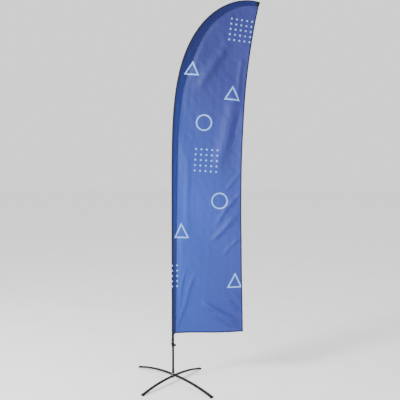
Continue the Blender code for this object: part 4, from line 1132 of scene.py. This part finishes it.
inner_lengths = FLAG_BOTTOM + np.array([0.0, 0.004, 0.008, BINDING_DEPTH])
binding_lengths = [*inner_lengths[::-1], *inner_lengths]
binding_swells = [0.0002, *[BINDING_SWELL] * 3, *[-BINDING_SWELL] * 3, -0.0002]
binding = sleeve_piece("bound_sleeve_mouth", binding_lengths, binding_swells, [1.0] * 8, closed=True)
fit(binding, navy_binding, "pole", "navy_binding")

pocket_steps = [-0.0010, 0.0, 0.004, 0.008, 0.012, 0.016, 0.020, 0.0235, 0.0250, 0.0257, 0.0260]
pocket_lengths = POCKET_START + np.array(pocket_steps)
pocket_swells = [0.0003, *[0.0006] * 6, 0.0005, 0.0003, 0.0, -0.0003]
pocket_scales = [1.0] * 7 + [0.99, 0.96, 0.88, 0.70]
pocket = sleeve_piece("webbing_tip_pocket", pocket_lengths, pocket_swells, pocket_scales, ends=True)

# Webbing: coarse black polyester, ribs 1.6 mm apart, matt.
webbing = woven_finish("black_polyester_webbing", "#09090B", "#141418", 0.0016, 0.00025, 0.75, 0.08)
fit(pocket, webbing, "pole", "black_webbing", "flag_tip_pocket")

# ------------------------------
# Stitching. Lockstitch in thread a shade paler than the cloth: one row along each hem, and two along
# the sleeve's seam, on both faces.
ROWS_FROM_SEAM = (0.0022, 0.0085)
HEM_ROW = HEM_DEPTH - 0.0020

sewing_sizes = [(key, "Float") for key in ("Pitch", "Length", "Width", "Height")]
sewing, given, made = new_tree("lockstitch_row", *sewing_sizes, ("Thread", "Material"))
row = add(sewing, "GeometryNodeMeshToCurve", {"Mesh": given.outputs["Geometry"]})
spacing = {"Curve": row, "Length": given.outputs["Pitch"]}
marked = add(sewing, "GeometryNodeResampleCurve", spacing, mode="LENGTH")
needle = add(sewing, "GeometryNodeCurveToPoints", {"Curve": marked}, mode="EVALUATED")
bead = add(sewing, "GeometryNodeMeshUVSphere", {"Segments": 6, "Rings": 4, "Radius": 0.5})
bead_sides = {axis: given.outputs[key] for axis, key in (("X", "Length"), ("Y", "Height"), ("Z", "Width"))}
bead_size = add(sewing, "ShaderNodeCombineXYZ", bead_sides)
forwards = {"Vector": needle.outputs["Tangent"]}
aim = add(sewing, "FunctionNodeAlignRotationToVector", forwards, axis="X", pivot_axis="Y")
placing = {"Points": needle.outputs["Points"], "Instance": bead, "Rotation": aim, "Scale": bead_size}
laid = add(sewing, "GeometryNodeInstanceOnPoints", placing)
real = add(sewing, "GeometryNodeRealizeInstances", {"Geometry": laid})
smooth = add(sewing, "GeometryNodeSetShadeSmooth", {"Geometry": real})
done = add(sewing, "GeometryNodeSetMaterial", {"Geometry": smooth, "Material": given.outputs["Thread"]})
sewing.links.new(done.outputs[0], made.inputs["Geometry"])

# Polyester thread: two plies twisted together, drawn 1 mm a turn so that they show.
thread, tree, shader, where = new_finish("polyester_thread", Roughness=0.5, Sheen_Weight=0.3)
plies = add(tree, "ShaderNodeTexWave", {"Vector": where, "Scale": 300.0}, bands_direction="DIAGONAL")
# Painted shade: the colour follows the plies' relief, darker in the grooves and lighter on the crowns.
vary(tree, shader, plies, "#2A4690", "#3D5DB0", 0.2, 0.8)
raise_surface(tree, shader, plies, 0.00010)


def seam_row(away, swell):
    """A line along the sleeve at a distance from its seam, on its front."""
    found = []
    for length in stations(FLAG_BOTTOM + 0.016, POCKET_START - 0.003, 0.010):
        loop, distance, _ = sleeve_loop(length, swell)
        front = slice(0, STRAIGHT_POINTS - 1)
        n = np.interp(away, distance[front], loop[front, 0])
        y = np.interp(away, distance[front], loop[front, 1])
        found.append(sleeve_ring(length, np.array([n, y])))
    return np.array(found)


THREAD_LIFT = 0.0001  # the thread lies this far off the cloth
hem_side = HEM_HALF + THREAD_LIFT
stitch_lines = [seam_row(away, THREAD_LIFT) for away in ROWS_FROM_SEAM]
stitch_lines += [line * [1.0, -1.0, 1.0] for line in stitch_lines]
for side in (-hem_side, hem_side):
    stitch_lines.append(cloth_points(trailing(np.linspace(lowest, 1 - TIP_TRIM, 600), HEM_ROW), side))
    shares = np.linspace(0.01, 0.995, 150)
    stitch_lines.append(np.array([bottom_edge(share, HEM_ROW, side) for share in shares]))
chains = []
first = 0
for stitch_line in stitch_lines:
    chains += [(first + i, first + i + 1) for i in range(len(stitch_line) - 1)]
    first += len(stitch_line)
stitches = carrier("flag_stitching", np.concatenate(stitch_lines), chains)
stitch = {"Pitch": 0.0042, "Length": 0.0030, "Width": 0.0007, "Height": 0.0004}  # of one stitch, in metres
grow(stitches, sewing, Thread=thread, **stitch)
fit(stitches, thread, "pole", "navy_binding")

# ------------------------------
# Tensioner. A moulded collar is clamped on the pole with a thumb knob. A loop of braided elastic runs
# from a webbing tab under the sleeve's mouth to under the knob, and pulls the flag down tight.
COLLAR_BORE = 0.0103
COLLAR_RADIUS = 0.0140
COLLAR_LOW, COLLAR_HIGH = (corner.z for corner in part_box("tension_collar"))
COLLAR_CENTRE = (COLLAR_LOW + COLLAR_HIGH) / 2
KNOB_NECK = 0.0045
KNOB_HEAD = 0.0095
KNOB_START = 0.0196
KNOB_END = 0.0286
KNOB_RIBS = 18
KNOB_PLUG = 0.0036  # the radius of its plug in the collar
RIB_MIDDLE = 0.0034  # from the head's start
RIB_SINK = 0.0003
CORD_RADIUS = 0.0025
TAB_BORE = 0.0106
TAB_WALL = 0.0018
TAB_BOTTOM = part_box("strap_tab")[0].z
TAB_WRAP = math.radians(160.0)
WAIST_DEPTH = 0.0006  # a shallow waist runs round the collar, inside its two rims
RIM_HEIGHT = 0.0030

collar_profile = ring_section(COLLAR_RADIUS, COLLAR_BORE, COLLAR_LOW, COLLAR_HIGH, 0.0012)
waist = [
    (COLLAR_RADIUS, COLLAR_LOW + RIM_HEIGHT),
    (COLLAR_RADIUS - WAIST_DEPTH, COLLAR_LOW + RIM_HEIGHT + WAIST_DEPTH),
    (COLLAR_RADIUS - WAIST_DEPTH, COLLAR_HIGH - RIM_HEIGHT - WAIST_DEPTH),
    (COLLAR_RADIUS, COLLAR_HIGH - RIM_HEIGHT),
]
collar = turned("clamp_collar", [*collar_profile[:3], *waist, *collar_profile[3:]])
fit(collar, moulded, "pole", "black_plastic", "tension_collar")


def knob_ring(radius, out, sides=48):
    """Points round the knob's axis, which runs out along +X at the collar's middle."""
    around = circle(radius, sides)
    return np.column_stack([np.full(sides, axis_x + out), around[:, 0], around[:, 1] + COLLAR_CENTRE])


knob_profile = [
    (KNOB_PLUG, COLLAR_BORE + 0.0004),
    (KNOB_PLUG, COLLAR_RADIUS + GAP),
    (KNOB_NECK, COLLAR_RADIUS + GAP),
    (KNOB_NECK, KNOB_START - 0.0004),
    (KNOB_NECK + 0.0004, KNOB_START),
    (KNOB_HEAD - 0.0014, KNOB_START),
    (KNOB_HEAD - 0.0004, KNOB_START + 0.0008),
    (KNOB_HEAD - 0.0004, KNOB_START + 0.0055),
    (KNOB_HEAD - 0.0010, KNOB_START + 0.0070),
    (KNOB_HEAD - 0.0026, KNOB_END - 0.0007),
    (KNOB_HEAD - 0.0045, KNOB_END - 0.0001),
    (KNOB_HEAD - 0.0060, KNOB_END - 0.0005),
    (0.0010, KNOB_END - 0.0008),
]
knob = loft("thumb_knob", [knob_ring(radius, out) for radius, out in knob_profile], ends=True)
fit(knob, moulded, "pole", "black_plastic", "tension_knob")
knob_ribs = carrier("knob_ribs", knob_ring(KNOB_HEAD - RIB_SINK, KNOB_START + RIB_MIDDLE, KNOB_RIBS))
grow(knob_ribs, ribs, Radius=0.0005, Length=0.0046, Turn=(0.0, math.pi / 2, 0.0), Finish=moulded)
fit(knob_ribs, moulded, "pole", "black_plastic")

# The tab: webbing sewn into the sleeve's mouth, wrapped round the pole's leading half.
tab_turns = math.pi + TAB_WRAP * (np.linspace(0.0, 1.0, 33) - 0.5)
tab_rows = []
for share in (0.0, 0.02, 0.25, 0.5, 0.75, 0.98, 1.0):
    lift = 0.0005 if share in (0.0, 1.0) else 0.0
    loop = []
    for radius, turns in ((TAB_BORE + lift, tab_turns), (TAB_BORE + TAB_WALL - lift, tab_turns[::-1])):
        n = radius * np.cos(turns)
        top = FLAG_BOTTOM - mouth_drop(FLAG_BOTTOM, n) - GAP
        z = TAB_BOTTOM * (1 - share) + top * share
        loop.append(np.column_stack([axis_x + n, radius * np.sin(turns), z]))
    tab_rows.append(np.concatenate(loop))
tab = loft("webbing_tab", tab_rows, ends=True)
fit(tab, webbing, "pole", "black_webbing", "strap_tab")

# The cord: one strand down each side of the pole from the tab, meeting under the knob's neck.
TRACK = COLLAR_RADIUS + GAP + CORD_RADIUS
cord_top = TAB_BOTTOM - GAP
under_neck = COLLAR_CENTRE - KNOB_NECK - GAP - CORD_RADIUS
STRAND = (
    # away from the track round the collar, the turn round the pole from -X in degrees, and the height
    (-0.0040, 22.0, cord_top),
    (-0.0034, 22.0, cord_top - 0.010),
    (-0.0018, 23.0, cord_top - 0.022),
    (0.0001, 25.0, cord_top - 0.034),
    (0.0006, 31.0, cord_top - 0.044),
    (0.0004, 46.0, under_neck + 0.0125),
    (0.0002, 72.0, under_neck + 0.0070),
    (0.0001, 100.0, under_neck + 0.0033),
    (0.0001, 130.0, under_neck + 0.0009),
    (0.0000, 156.0, under_neck + 0.0001),
    (0.0000, 180.0, under_neck),
)


def smooth_path(points, steps):
    """Points along a smooth curve through the given ones."""
    points = np.asarray(points, float)
    padded = np.concatenate([[2 * points[0] - points[1]], points, [2 * points[-1] - points[-2]]])
    found = []
    for a, b, c, d in zip(padded, padded[1:], padded[2:], padded[3:]):
        for t in np.arange(steps) / steps:
            bend = (2 * a - 5 * b + 4 * c - d) * t**2 + (3 * b - a - 3 * c + d) * t**3
            found.append(0.5 * (2 * b + (c - a) * t + bend))
    return np.array([*found, points[-1]])


front_strand = [(TRACK + away, angle, z) for away, angle, z in STRAND]
back_strand = [(away, 360.0 - angle, z) for away, angle, z in front_strand[-2::-1]]
path = smooth_path(front_strand + back_strand, 8)
outs, turns, heights = path[:, 0], np.radians(path[:, 1]), path[:, 2]
cord_line = np.column_stack([axis_x - outs * np.cos(turns), -outs * np.sin(turns), heights])
pace = np.gradient(cord_line, axis=0)
pace /= np.linalg.norm(pace, axis=1, keepdims=True)
CORD_SIDES = 20
cord_ring = circle(CORD_RADIUS, CORD_SIDES)
around = np.arange(CORD_SIDES + 1) * math.tau * CORD_RADIUS / CORD_SIDES
side_way = np.array([0.0, 1.0, 0.0])
cord_rows = []
cord_cuts = []
for point, along, length in zip(cord_line, pace, run_along(cord_line)):
    side_way = side_way - along * side_way.dot(along)
    side_way /= np.linalg.norm(side_way)
    other_way = np.cross(along, side_way)
    cord_rows.append(point + cord_ring[:, :1] * side_way + cord_ring[:, 1:] * other_way)
    cord_cuts.append(np.column_stack([around, np.full(CORD_SIDES + 1, length)]))

# Braided elastic: black polyester strands crossing over a rubber core, each crossing about 2 mm.
values = {"Roughness": 0.6, "Specular_IOR_Level": 0.3, "Sheen_Weight": 0.1}
braid, tree, shader, cut = new_finish("braided_elastic", by_cut=True, **values)
strands = []
for lean in (1.0, -1.0):
    turned_cut = add(tree, "ShaderNodeMapping", {"Vector": cut, "Rotation": (0.0, 0.0, lean * math.pi / 4)})
    strand_waves = {"Vector": turned_cut, "Scale": 200.0}
    strands.append(add(tree, "ShaderNodeTexWave", strand_waves, bands_direction="X"))
crossed = largest(tree, strands)
# Painted shade: the colour follows the strands' relief, darker between them and lighter where they cross
# over.
vary(tree, shader, crossed, "#0B0B0D", "#222226", 0.4, 0.9)
raise_surface(tree, shader, crossed, 0.00020)
cord = loft("elastic_loop", cord_rows, ends=True, uv=np.array(cord_cuts))
fit(cord, braid, "pole", "black_elastic", "tension_cord")

# ------------------------------
# Studio. A white floor and backdrop, lit apart from the flag so that they stay pale, a soft key light
# high on the left that rakes the cloth, a weak fill, and a camera a little above eye height.
FLOOR_RADIUS = 60.0
FLOOR_SIDES = 96
FLOOR_DROP = 0.0002
BACKDROP_GLOW = 1.3
ROOM_LIGHT = 0.75
FLAG_MIDDLE = (0.1, 0.0, 1.6)


def glow(tree, node, strength, seen, unseen):
    """Sets a strength for what the lens sees directly, and another for the light that falls on things."""
    direct = add(tree, "ShaderNodeLightPath").outputs["Is Camera Ray"]
    level = add(tree, "ShaderNodeMapRange", {"Value": direct, "To Min": unseen, "To Max": seen})
    tree.links.new(level.outputs["Result"], node.inputs[strength])


floor_rows = []
for radius in (0.01, 3.0, FLOOR_RADIUS):
    floor_rows.append(np.column_stack([circle(radius, FLOOR_SIDES), np.full(FLOOR_SIDES, -FLOOR_DROP)]))
floor = loft("studio_floor", floor_rows)
paper, tree, shader, where = new_finish("white_studio_paper", Roughness=0.9)
fibre = add(tree, "ShaderNodeTexNoise", {"Vector": where, "Scale": 3.0, "Detail": 3.0})
vary(tree, shader, fibre, "#F4F4F4", "#FBFBFB")
shader.inputs["Emission Color"].default_value = (1.0, 1.0, 1.0, 1.0)
glow(tree, shader, "Emission Strength", BACKDROP_GLOW - ROOM_LIGHT, 0.0)
floor.data.materials.append(paper)
floor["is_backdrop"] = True

room = bpy.data.worlds.new("studio_room")
room.use_nodes = True
backdrop = room.node_tree.nodes["Background"]
backdrop.inputs["Color"].default_value = (1.0, 1.0, 1.0, 1.0)
glow(room.node_tree, backdrop, "Strength", BACKDROP_GLOW, ROOM_LIGHT)
bpy.context.scene.world = room


def soft_light(name, place, size, power):
    """A round lamp that shines on the middle of the flag."""
    lamp = bpy.data.lights.new(name, "AREA")
    lamp.shape = "DISK"
    lamp.size = size
    lamp.energy = power
    made_light = bpy.data.objects.new(name, lamp)
    made_light.location = place
    made_light.rotation_euler = (Vector(FLAG_MIDDLE) - Vector(place)).to_track_quat("-Z", "Y").to_euler()
    bpy.context.scene.collection.objects.link(made_light)


soft_light("key", (-4.2, -2.7, 3.6), 1.3, 460.0)
soft_light("fill", (3.2, -3.4, 1.6), 2.4, 80.0)

CAMERA_PLACE = (axis_x + 0.245, -4.0, 1.87)
CAMERA_TILT = math.radians(87.0)
FOCAL_LENGTH = 40.32  # in millimetres

lens = bpy.data.cameras.new("studio_camera")
lens.lens = FOCAL_LENGTH
lens.clip_end = 200.0
camera = bpy.data.objects.new("studio_camera", lens)
camera.location = CAMERA_PLACE
camera.rotation_euler = (CAMERA_TILT, 0.0, 0.0)
bpy.context.scene.collection.objects.link(camera)
bpy.context.scene.camera = camera

# The CAD box and the visual model's.
now_low, now_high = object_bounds()
sizes = {"cad": [list(cad_low), list(cad_high)], "visual": [list(now_low), list(now_high)]}
